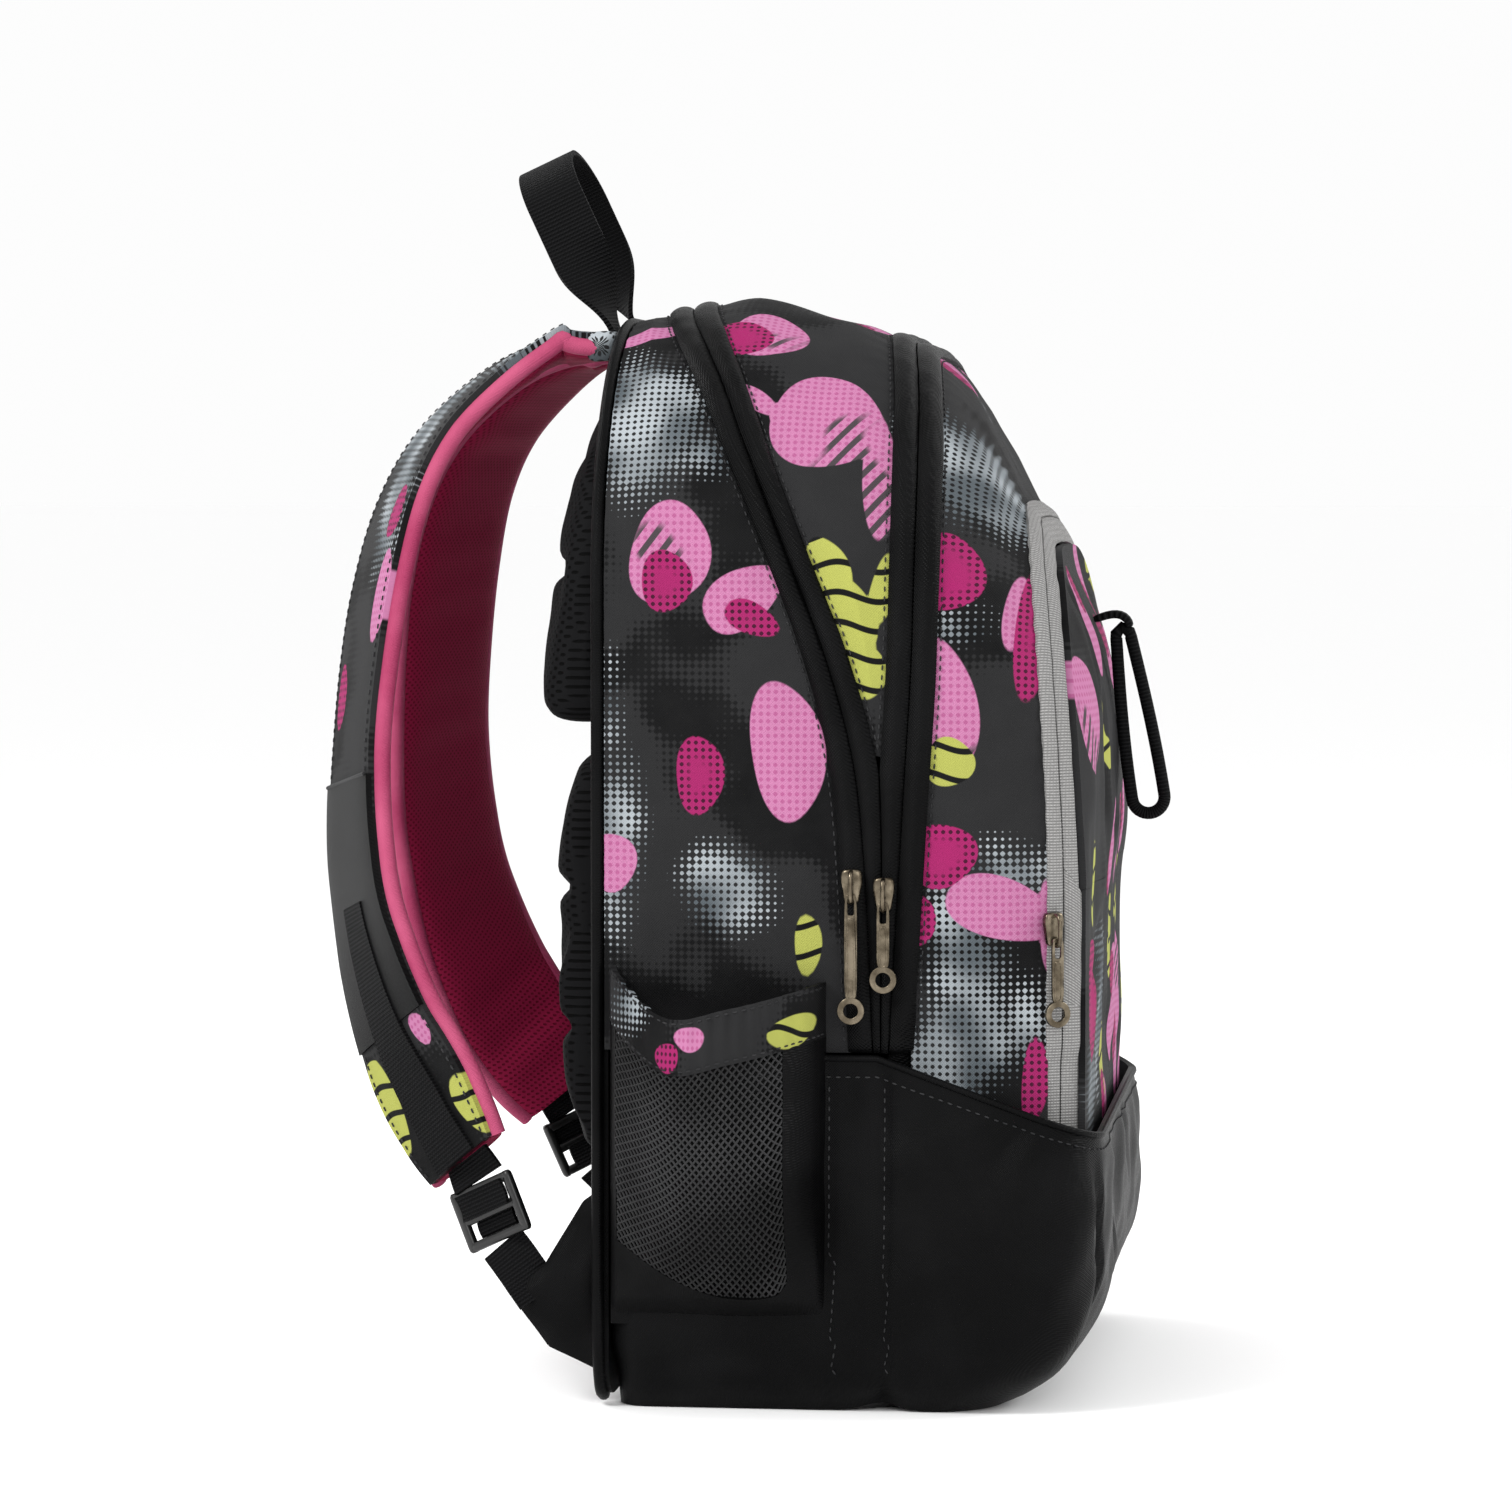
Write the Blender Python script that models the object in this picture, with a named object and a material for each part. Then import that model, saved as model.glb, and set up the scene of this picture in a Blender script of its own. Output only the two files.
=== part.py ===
"""A school backpack with two zipped compartments, a front pocket and two side pockets.

Metres, +Z up. The bag stands on z = 0 with X = 0 on its plane of symmetry. Its front
faces -Y and its shoulder straps are on the +Y side; -X is the wearer's left.
Depths in this file run forward from the back panel: a depth d is at y = Y_BACK - d.
"""

import math

import bmesh
import bpy
from mathutils import Vector

# Driving dimensions
Y_BACK = 0.100
WALL = 0.003
TAPE_THICKNESS = 0.0018
GAP = 0.0004
HINGE_D = 0.113
HINGE_Z = 0.148
SEAM_Z = 0.1505
TUB_HALF_WIDTH = 0.150
TUB_FRONT_RIM_Z = 0.115
TUB_FRONT_D = 0.203
TUB_RIM_LEVEL = 0.12
NEST_DEPTH = 0.010
ZIP_HALF = 0.010
POCKET_ZIP_HALF = 0.006
FLAP_HINGE_Z = 0.215

# Profiles: each is a list of (position, value) joined by a smooth curve.
TOP_BY_DEPTH = [(0.0, 0.450), (0.022, 0.4535), (0.045, 0.4575), (0.085, 0.449), (0.116, 0.440),
                (0.134, 0.427), (0.150, 0.399), (0.165, 0.373), (0.173, 0.363), (0.190, 0.327),
                (0.205, 0.290)]
WIDTH_BY_DEPTH = [(0.0, 0.148), (0.125, 0.148), (0.150, 0.146), (0.175, 0.141), (0.187, 0.135),
                  (0.200, 0.126)]
CORNER_BY_DEPTH = [(0.0, 0.110), (0.125, 0.110), (0.190, 0.080), (0.205, 0.078)]
FRONT_BY_HEIGHT = [(0.09, 0.1975), (0.19, 0.1975), (0.235, 0.2005), (0.264, 0.2005), (0.286, 0.1995),
                   (0.312, 0.1965), (0.327, 0.192), (0.343, 0.185), (0.364, 0.177)]

# Zip lines: depth against the arch position, 0 at the crown and 1 at the lower seam.
MAIN_ZIP = [(0.0, 0.022), (0.12, 0.0235), (0.24, 0.031), (0.40, 0.054), (0.51, 0.074),
            (0.60, 0.090), (0.70, 0.102), (0.80, 0.107), (1.0, 0.111)]
SECOND_ZIP = [(0.0, 0.116), (0.12, 0.118), (0.33, 0.126), (0.55, 0.127), (0.75, 0.123),
              (1.0, 0.1175)]
POCKET_ZIP = [(0.0, 0.171), (0.12, 0.172), (0.55, 0.186), (1.0, 0.187), (1.2, 0.187)]

# The arch: the crown is flat to CROWN, a round corner to SPRING, a straight side to 1,
# and a stretch that tucks into the base tub to TUCK.
CROWN, SPRING, TUCK = 0.12, 0.55, 1.15
FORK = 0.70  # where the two compartment zips run together
SIDE_STEPS, CORNER_STEPS = 6, 7

# Shoulder strap: (x, depth, z, outward turn in degrees, width) down the middle of the pad.
STRAP_PATH = [(0.0540, -0.0190, 0.4385, 0, 0.018), (0.0540, -0.0245, 0.4385, 0, 0.044),
              (0.0548, -0.0345, 0.4375, 6, 0.056), (0.058, -0.057, 0.425, 14, 0.062),
              (0.064, -0.081, 0.402, 17, 0.066), (0.070, -0.096, 0.374, 19, 0.068),
              (0.077, -0.105, 0.338, 20, 0.070),
              (0.084, -0.110, 0.298, 20, 0.070), (0.090, -0.112, 0.258, 20, 0.070),
              (0.096, -0.110, 0.222, 21, 0.070), (0.102, -0.103, 0.186, 23, 0.068),
              (0.110, -0.090, 0.150, 27, 0.064), (0.119, -0.072, 0.118, 33, 0.056),
              (0.124, -0.061, 0.100, 38, 0.044)]
STRAP_TOP = (0.0540, -0.0168, 0.4385)
PAD_THICKNESS = 0.0085
LINING_THICKNESS = 0.0022
LOCK_TOP = (0.1265, -0.0555, 0.0905)
LOCK_BOTTOM = (0.1300, -0.0455, 0.0665)
LOCK_TURN = 55
WING_TIP = (0.1345, -0.0340, 0.0520)
WING_EDGE = (0.0077, 0.0064)
WEBBING_WIDTH = 0.025
LOWER_WEBBING_WIDTH = 0.020

HANDLE_HINGE = (-0.0115, 0.4462)
HANDLE_LEAN = math.radians(25)
LOOP_HINGE = (0.2034, 0.3215)
LOOP_LEAN = math.radians(9)

HANDLE_HALF, HANDLE_HEIGHT, HANDLE_ROUND = 0.036, 0.080, 0.020
LOOP_HALF_WIDTH, LOOP_LENGTH, LOOP_TIP, LOOP_RADIUS = 0.0070, 0.084, 0.0030, 0.0026
LOCK_WIDTH, LOCK_BAR, LOCK_THICKNESS = 0.034, 0.0040, 0.0042
PULL_RING, PULL_HOLE, PULL_HALF_THICKNESS = 0.0055, 0.0026, 0.0009
XYZ = (Vector((1, 0, 0)), Vector((0, 1, 0)), Vector((0, 0, 1)))

# Colours of the plain parts
PRINT = (0.17, 0.05, 0.10)
BLACK = (0.012, 0.012, 0.013)
MESH_GREY = (0.06, 0.06, 0.06)
PINK = (0.55, 0.03, 0.10)
SILVER = (0.42, 0.41, 0.39)
BRASS = (0.20, 0.16, 0.10)
BOARD = (0.30, 0.30, 0.30)


def smooth(points, at):
    """The value at a position on the smooth curve through (position, value) points."""
    if at <= points[0][0]:
        return points[0][1]
    if at >= points[-1][0]:
        return points[-1][1]
    slopes = []
    for i in range(len(points)):
        before = points[max(i - 1, 0)]
        after = points[min(i + 1, len(points) - 1)]
        slopes.append((after[1] - before[1]) / (after[0] - before[0]))
    i = max(k for k in range(len(points) - 1) if points[k][0] <= at)
    (x0, y0), (x1, y1) = points[i], points[i + 1]
    span = x1 - x0
    u = (at - x0) / span
    return (y0 * (1 + 2 * u) * (1 - u) ** 2 + y1 * u * u * (3 - 2 * u)
            + span * (slopes[i] * u * (1 - u) ** 2 - slopes[i + 1] * u * u * (1 - u)))


def blend(low, high, at):
    """0 below low, 1 above high, and a smooth step between them."""
    u = min(max((at - low) / (high - low), 0.0), 1.0)
    return u * u * (3 - 2 * u)


def world(x, depth, z):
    return Vector((x, Y_BACK - depth, z))


def rim_height(depth):
    """The upper edge of the base tub: level at the back, sloping down ahead of the zips."""
    slope = (HINGE_Z - TUB_FRONT_RIM_Z) / (TUB_FRONT_D - HINGE_D)
    return HINGE_Z - slope * max(depth - HINGE_D, 0.0)


def taper(depth, z):
    """The front section narrows where it swings down inside the base tub."""
    reach = math.hypot(depth - HINGE_D, z - HINGE_Z)
    angle = math.degrees(math.atan2(z - HINGE_Z, max(depth - HINGE_D, 1e-6)))
    return 1.0 - 0.026 * (1.0 - blend(24, 65, angle)) * blend(0.005, 0.014, reach)


def skin(at, depth):
    """A point of the bag's outer skin: at is the signed arch position, depth runs forward."""
    a = abs(at)
    top, corner = smooth(TOP_BY_DEPTH, depth), smooth(CORNER_BY_DEPTH, depth)
    half, spring_z = smooth(WIDTH_BY_DEPTH, depth), top - corner
    if a <= CROWN:
        x, z = (half - corner) * a / CROWN, top
    elif a <= SPRING:
        turn = (a - CROWN) / (SPRING - CROWN) * math.pi / 2
        x, z = half - corner + corner * math.sin(turn), spring_z + corner * math.cos(turn)
    elif a <= 1.0:
        x, z = half, spring_z + (SEAM_Z - spring_z) * (a - SPRING) / (1.0 - SPRING)
    else:
        low = rim_height(depth) - NEST_DEPTH
        x, z = half, SEAM_Z + (low - SEAM_Z) * (a - 1.0) / (TUCK - 1.0)
    return world(math.copysign(x, at) * taper(depth, z), depth, z)


def skin_normal(at, depth):
    step = 0.002
    along = skin(at + step, depth) - skin(at - step, depth)
    forward = skin(at, depth + step) - skin(at, depth - step)
    normal = along.cross(forward).normalized()
    point = skin(at, depth)
    outward = Vector((point.x, 0.0, point.z - 0.25))
    return normal if normal.dot(outward) > 0 else -normal


def arch_positions(end):
    """Signed arch positions from -end to end, closer together round the corners."""
    half = [0.0, CROWN]
    half += [CROWN + (SPRING - CROWN) * i / CORNER_STEPS for i in range(1, CORNER_STEPS + 1)]
    half += [SPRING + (1.0 - SPRING) * i / SIDE_STEPS for i in range(1, SIDE_STEPS + 1)]
    half += [(1.0 + TUCK) / 2, TUCK]
    half = [a for a in half if a < end - 0.02] + [end]
    return [-a for a in reversed(half[1:])] + half


def material(name, colour, roughness=0.8, metallic=0.0):
    made = bpy.data.materials.new(name)
    made.use_nodes = True
    shader = made.node_tree.nodes["Principled BSDF"]
    shader.inputs["Base Color"].default_value = (*colour, 1.0)
    shader.inputs["Roughness"].default_value = roughness
    shader.inputs["Metallic"].default_value = metallic
    made.diffuse_color = (*colour, 1.0)
    return made



def add_object(name, verts, faces, colour, origin=None, roughness=0.8, metallic=0.0, flat=False):
    """One closed mesh object with its own material and its origin where it turns."""
    place = origin or Vector((0.0, 0.0, 0.0))
    mesh = bpy.data.meshes.new(name)
    mesh.from_pydata([Vector(v) - place for v in verts], [], faces)
    tool = bmesh.new()
    tool.from_mesh(mesh)
    bmesh.ops.recalc_face_normals(tool, faces=tool.faces)
    tool.to_mesh(mesh)
    tool.free()
    if not flat:
        mesh.shade_smooth()
        mesh.set_sharp_from_angle(angle=math.radians(35))
    mesh.materials.append(material(name + "_material", colour, roughness, metallic))
    made = bpy.data.objects.new(name, mesh)
    made.location = place
    bpy.context.scene.collection.objects.link(made)
    return made


def shell_faces(rows, columns):
    """Faces of a closed shell between an outer and an inner grid of rows x columns points."""
    inner = rows * columns
    faces = []
    for r in range(rows - 1):
        for c in range(columns - 1):
            a, b = r * columns + c, r * columns + c + 1
            d, e = a + columns, b + columns
            faces.append((a, b, e, d))
            faces.append((inner + a, inner + d, inner + e, inner + b))
    rim = [c for c in range(columns)]
    rim += [r * columns + columns - 1 for r in range(1, rows)]
    rim += [(rows - 1) * columns + c for c in reversed(range(columns - 1))]
    rim += [r * columns for r in reversed(range(1, rows - 1))]
    for a, b in zip(rim, rim[1:] + rim[:1]):
        faces.append((a, inner + a, inner + b, b))
    return faces


def add_shell(name, outer, inner, colour, **extra):
    """A closed shell from two grids, each a list of rows of points."""
    rows, columns = len(outer), len(outer[0])
    verts = [p for row in outer for p in row] + [p for row in inner for p in row]
    return add_object(name, verts, shell_faces(rows, columns), colour, **extra)


def add_band(name, start, end, colour, steps=1, thickness=WALL, last=1.0, origin=None):
    """A strip of the bag's skin over the arch, between two depths given by functions."""
    outer, inner = [], []
    for at in arch_positions(last):
        first, final = start(abs(at)), end(abs(at))
        depths = [first + (final - first) * i / steps for i in range(steps + 1)]
        points = [skin(at, d) for d in depths]
        outer.append(points)
        inner.append([p - skin_normal(at, d) * thickness for p, d in zip(points, depths)])
    return add_shell(name, outer, inner, colour, origin=origin)


def ribbon_frames(path, outward):
    """(point, width direction, normal) along a path of (point, turn) with a smooth frame."""
    frames = []
    for i, (point, turn) in enumerate(path):
        before, after = path[max(i - 1, 0)][0], path[min(i + 1, len(path) - 1)][0]
        tangent = (after - before).normalized()
        back = Vector((0.0, 1.0, 0.5))
        normal = (back - tangent * back.dot(tangent)).normalized()
        across = normal.cross(tangent).normalized()
        if across.x * outward < 0:
            across = -across
        angle = math.radians(turn)
        face = normal * math.cos(angle) + across * math.sin(angle)
        frames.append((point, face.cross(tangent).normalized(), face))
    return frames


def add_ribbon(name, frames, widths, low, high, colour, origin=None, columns=1):
    """A flat strip along frames, from low to high along each frame's normal."""
    shares = [i / columns - 0.5 for i in range(columns + 1)]
    sides = [[[p + n * height + w * width * share for share in shares]
              for (p, w, n), width in zip(frames, widths)] for height in (high, low)]
    return add_shell(name, sides[0], sides[1], colour, origin=origin)


def refined(path, steps):
    """The rows of a path with extra rows between them, on a smooth curve."""
    rows = []
    for i in range(len(path) - 1):
        before, after = path[max(i - 1, 0)], path[min(i + 2, len(path) - 1)]
        for step in range(steps):
            u = step / steps
            weights = (-u * (1 - u) ** 2 / 2, 1 - u * u * (5 - 3 * u) / 2,
                       u * (1 + u * (4 - 3 * u)) / 2, -u * u * (1 - u) / 2)
            rows.append(tuple(sum(w * v for w, v in zip(weights, values))
                              for values in zip(before, path[i], path[i + 1], after)))
    rows.append(path[-1])
    return rows


def arch_outline(half, top, corner, bottom, steps=8):
    """A closed (x, z) outline: square below and round-shouldered above."""
    points = [(-half, bottom), (half, bottom)]
    for i in range(steps + 1):
        turn = math.pi / 2 * i / steps
        points.append((half - corner + corner * math.cos(turn), top - corner + corner * math.sin(turn)))
    for i in range(steps + 1):
        turn = math.pi / 2 * (1 + i / steps)
        points.append((-half + corner + corner * math.cos(turn), top - corner + corner * math.sin(turn)))
    return points


def add_plate(name, outline, near, far, colour, origin=None):
    """A flat plate: an (x, z) outline between two depths."""
    count = len(outline)
    verts = [world(x, near, z) for x, z in outline] + [world(x, far, z) for x, z in outline]
    faces = [tuple(range(count)), tuple(reversed(range(count, 2 * count)))]
    faces += [(i, (i + 1) % count, count + (i + 1) % count, count + i) for i in range(count)]
    return add_object(name, verts, faces, colour, origin=origin, flat=True)


def add_block(name, centre, axes, sizes, colour, bevel=0.0008, **extra):
    """A box on three directions, with its edges chamfered."""
    a, b, c = (axis.normalized() * size / 2 for axis, size in zip(axes, sizes))
    verts = [centre + a * i + b * j + c * k for i in (-1, 1) for j in (-1, 1) for k in (-1, 1)]
    faces = [(0, 1, 3, 2), (4, 6, 7, 5), (0, 4, 5, 1), (2, 3, 7, 6), (0, 2, 6, 4), (1, 5, 7, 3)]
    made = add_object(name, verts, faces, colour, flat=True, **extra)
    if bevel:
        rounding = made.modifiers.new("edges", "BEVEL")
        rounding.width = bevel
        rounding.segments = 1
    return made


def add_tube(name, route, radius, colour, closed=False, origin=None, resolution=2):
    """A round tube along points, as a curve with a bevel and filled caps."""
    place = origin or Vector((0.0, 0.0, 0.0))
    curve = bpy.data.curves.new(name, "CURVE")
    curve.dimensions = "3D"
    curve.bevel_depth = radius
    curve.bevel_resolution = resolution
    curve.use_fill_caps = True
    line = curve.splines.new("POLY")
    line.points.add(len(route) - 1)
    for point, where in zip(line.points, route):
        point.co = (*(where - place), 1.0)
    line.use_cyclic_u = closed
    curve.materials.append(material(name + "_material", colour))
    made = bpy.data.objects.new(name, curve)
    made.location = place
    bpy.context.scene.collection.objects.link(made)
    return made


# Back: panel, stiffener, pads and piping

def make_back():
    add_plate("back_panel", arch_outline(0.1446, 0.4462, 0.1066, 0.004), 0.0, 0.0032, BLACK)
    add_plate("back_stiffener", arch_outline(0.130, 0.425, 0.090, 0.012), 0.0075, 0.0090, BOARD)
    piping = [skin(at, 0.0) for at in arch_positions(1.0)]
    low = [world(-0.1465, 0.0, z) for z in (0.015, 0.06, 0.11)]
    route = [Vector((p.x * 0.99, Y_BACK + 0.0031, p.z - (0.0015 if p.z > 0.35 else 0.0))) for p in
             low + piping + [Vector((-p.x, p.y, p.z)) for p in reversed(low)]]
    add_tube("rear_piping", route, 0.0024, BLACK)


def add_cushion(name, outline, thickness_at, colour):
    """A pad on the back panel: an outline in (x, z) that crowns away from the panel."""
    count = len(outline)
    middle_x = sum(x for x, _ in outline) / count
    middle_z = sum(z for _, z in outline) / count
    base = Y_BACK + GAP
    verts, faces = [], []
    levels = [(1.0, 0.0), (1.0, 0.55), (0.93, 0.9), (0.75, 1.0), (0.40, 1.0)]
    for scale, rise in levels:
        for x, z in outline:
            px, pz = middle_x + (x - middle_x) * scale, middle_z + (z - middle_z) * scale
            verts.append(Vector((px, base + thickness_at(pz) * rise, pz)))
    for level in range(len(levels) - 1):
        for i in range(count):
            j = (i + 1) % count
            faces.append((level * count + i, level * count + j,
                          (level + 1) * count + j, (level + 1) * count + i))
    faces.append(tuple(range(count)))
    last = (len(levels) - 1) * count
    verts.append(Vector((middle_x, base + thickness_at(middle_z), middle_z)))
    faces += [(last + i, last + (i + 1) % count, len(verts) - 1) for i in range(count)]
    return add_object(name, verts, faces, colour)


def make_pads():
    upper_profile = [(0.278, 0.030), (0.295, 0.031), (0.36, 0.022), (0.425, 0.008)]
    add_cushion("upper_back_pad", arch_outline(0.122, 0.427, 0.085, 0.279, 5),
                lambda z: smooth(upper_profile, z), BLACK)
    lower_profile = [(0.09, 0.015), (0.15, 0.021), (0.23, 0.022), (0.272, 0.018)]
    for side, name in ((-1, "left"), (1, "right")):
        outline = [(side * 0.068 + x, z) for x, z in arch_outline(0.055, 0.272, 0.020, 0.098, 3)]
        add_cushion("lower_back_pad_" + name, outline, lambda z: smooth(lower_profile, z), BLACK)


# Base

def tub_ring(z_level, inset, rim=False):
    """One closed (x, depth, z) ring of the tub wall, moved in by inset."""
    width_profile = [(0.0, 0.137), (0.012, 0.1445), (0.03, 0.1485), (0.06, 0.150), (0.16, 0.150)]
    front_profile = [(0.0, 0.162), (0.006, 0.173), (0.02, 0.188), (0.045, 0.1985), (0.07, 0.203),
                     (0.16, 0.203)]
    half = smooth(width_profile, z_level) - inset
    front = smooth(front_profile, z_level) - inset
    back = 0.0038 + inset
    corner_front, corner_back = 0.030 - inset, 0.012 - inset
    ring = []
    steps = 4
    corners = [(-1, back, corner_back, 270), (-1, front, corner_front, 180),
               (1, front, corner_front, 90), (1, back, corner_back, 0)]
    for side, edge, radius, begin in corners:
        forward = -1 if edge == back else 1
        cx, cd = side * (half - radius), edge - forward * radius
        for i in range(steps + 1):
            turn = math.radians(begin - 90 * i / steps)
            ring.append((cx + radius * math.cos(turn), cd + radius * math.sin(turn)))
        if side == -1 and edge == back:
            ring += [(-half, 0.070), (-half, HINGE_D)]
        if side == 1 and edge == front:
            ring += [(half, HINGE_D), (half, 0.070)]
    return [(x, d, rim_height(d) if rim else z_level) for x, d in ring]


def make_tub():
    outer_levels = [0.0, 0.006, 0.016, 0.032, 0.055, 0.085]
    rings = [tub_ring(z, 0.0) for z in outer_levels] + [tub_ring(TUB_RIM_LEVEL, 0.0, rim=True)]
    inner = [tub_ring(TUB_RIM_LEVEL, WALL, rim=True)]
    inner += [tub_ring(z, WALL) for z in reversed(outer_levels[2:])]
    inner.append([(x, d, WALL) for x, d, _ in tub_ring(0.004, WALL)])
    rings += inner
    count = len(rings[0])
    verts = [world(*point) for ring in rings for point in ring]
    faces = [tuple(range(count)), tuple(range(len(verts) - count, len(verts)))]
    for level in range(len(rings) - 1):
        for i in range(count):
            j = (i + 1) % count
            faces.append((level * count + i, level * count + j,
                          (level + 1) * count + j, (level + 1) * count + i))
    add_object("base_tub", verts, faces, BLACK)
    add_block("base_stiffener", world(0.0, 0.085, 0.0046), XYZ, (0.250, 0.140, 0.0020), BOARD, bevel=0)
    add_block("lower_partition", world(0.0, 0.1158, 0.0765), XYZ, (0.266, 0.0015, 0.1405), BLACK,
              bevel=0)


# Side pockets

def pocket_point(side, across, z, inset):
    """A point of a side pocket: across is 0 at its rear seam and 1 at its front seam."""
    depth = 0.003 + 0.089 * across
    swell = 0.038 * math.sin(math.pi * across) ** 0.7 if 0 < across < 1 else 0.0
    rise = math.sin(min(max((z - 0.040) / 0.085, 0.0), 1.0) * math.pi / 2) ** 0.8
    return world(side * (TUB_HALF_WIDTH + GAP + 0.002 + swell * rise - inset), depth, z)


def band_top(across):
    return smooth([(0.0, 0.184), (0.30, 0.166), (0.60, 0.170), (1.0, 0.178)], across)


def make_side_pockets():
    columns = [i / 10 for i in range(11)]
    for side, name in ((-1, "left"), (1, "right")):
        outer, inner = [], []
        for step in range(8):
            row, back = [], []
            for across in columns:
                top = band_top(across) - 0.022 - GAP
                z = 0.040 + (top - 0.040) * (step / 7) ** 1.3
                row.append(pocket_point(side, across, z, 0.0))
                back.append(pocket_point(side, across, z, 0.002))
            outer.append(row)
            inner.append(back)
        add_shell("side_pocket_" + name, outer, inner, MESH_GREY)
        outer, inner = [], []
        for step in range(3):
            z_of = [band_top(across) - 0.022 * (1 - step / 2) for across in columns]
            outer.append([pocket_point(side, a, z, 0.0) for a, z in zip(columns, z_of)])
            inner.append([pocket_point(side, a, z, 0.002) for a, z in zip(columns, z_of)])
        add_shell("side_pocket_band_" + name, outer, inner, PRINT)


# Gussets, partitions and zips

def main_zip(a):
    return smooth(MAIN_ZIP, a)


def second_zip(a):
    return smooth(SECOND_ZIP, a)


def pocket_zip(a):
    return smooth(POCKET_ZIP, a)


def make_sections():
    section_origin = world(0.0, HINGE_D, HINGE_Z)
    add_band("rear_gusset", lambda a: 0.0, lambda a: main_zip(a) - ZIP_HALF - GAP, PRINT, steps=3)
    add_band("main_zip_rear_tape", lambda a: main_zip(a) - ZIP_HALF, lambda a: main_zip(a) - GAP / 2,
             BLACK, thickness=TAPE_THICKNESS)
    add_band("main_zip_front_tape", lambda a: main_zip(a) + GAP / 2,
             lambda a: min(main_zip(a) + ZIP_HALF, middle(a) - GAP / 2),
             BLACK, thickness=TAPE_THICKNESS, origin=section_origin)
    add_band("mid_gusset", lambda a: main_zip(a) + ZIP_HALF + GAP,
             lambda a: max(second_zip(a) - ZIP_HALF - GAP, main_zip(a) + ZIP_HALF + 2 * GAP),
             PRINT, steps=2, last=FORK, origin=section_origin)
    add_band("second_zip_rear_tape", lambda a: max(second_zip(a) - ZIP_HALF, middle(a) + GAP / 2),
             lambda a: second_zip(a) - GAP / 2, BLACK, thickness=TAPE_THICKNESS,
             origin=section_origin)
    add_plate("mid_partition", arch_outline(0.134, 0.433, 0.100, 0.1535), 0.1151, 0.1166, BLACK,
              origin=section_origin)
    add_band("second_zip_front_tape", lambda a: second_zip(a) + GAP / 2,
             lambda a: second_zip(a) + ZIP_HALF, BLACK, thickness=TAPE_THICKNESS,
             origin=section_origin)
    add_band("front_gusset", lambda a: second_zip(min(a, 1.0)) + ZIP_HALF + GAP,
             lambda a: pocket_zip(a) - POCKET_ZIP_HALF - GAP, PRINT, steps=4, last=TUCK,
             origin=section_origin)
    add_band("pocket_zip_rear_tape", lambda a: pocket_zip(a) - POCKET_ZIP_HALF,
             lambda a: pocket_zip(a) - GAP / 2, SILVER, thickness=TAPE_THICKNESS, last=TUCK,
             origin=section_origin)
    add_plate("pocket_divider", arch_outline(0.130, 0.362, 0.085, 0.125), 0.1580, 0.1598, BLACK,
              origin=section_origin)


def middle(a):
    """Half way between the main and the second zip, where their tapes meet low down."""
    return (main_zip(a) + second_zip(a)) / 2



def front_point(across, z, inset=0.0):
    """A point of the front face: beyond -1 and 1 it turns back to the pocket zip."""
    edge = pocket_zip(1.0) + POCKET_ZIP_HALF + GAP
    half = smooth(WIDTH_BY_DEPTH, edge) * taper(edge, z)
    if abs(across) > 1:
        depth = pocket_zip(1.0) + GAP / 2
        side = smooth(WIDTH_BY_DEPTH, depth) * taper(depth, z) - inset
        return world(math.copysign(side, across), depth, z)
    half -= inset if abs(across) == 1 else 0.0
    full = smooth(FRONT_BY_HEIGHT, z)
    depth = full - (full - edge - WALL) * abs(across) ** 6
    return world(across * half, depth - inset, z)


def make_front():
    section_origin = world(0.0, HINGE_D, HINGE_Z)
    columns = [-1.1, -1.0, -0.92, -0.8, -0.6, -0.3, 0.0, 0.3, 0.6, 0.8, 0.92, 1.0, 1.1]
    low = rim_height(0.193) - NEST_DEPTH
    levels = [low + (FLAP_HINGE_Z - GAP - low) * i / 4 for i in range(5)]
    outer = [[front_point(c, z) for c in columns] for z in levels]
    inner = [[front_point(c, z, WALL) for c in columns] for z in levels]
    add_shell("front_lower_panel", outer, inner, PRINT, origin=section_origin)


def flap_limit():
    """The arch position where the pocket zip meets the flap's hinge line."""
    low, high = SPRING, 1.0
    for _ in range(30):
        mid = (low + high) / 2
        if skin(mid, flap_edge(mid)).z > FLAP_HINGE_Z:
            low = mid
        else:
            high = mid
    return low


def flap_edge(a):
    return pocket_zip(a) + POCKET_ZIP_HALF + GAP


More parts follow.
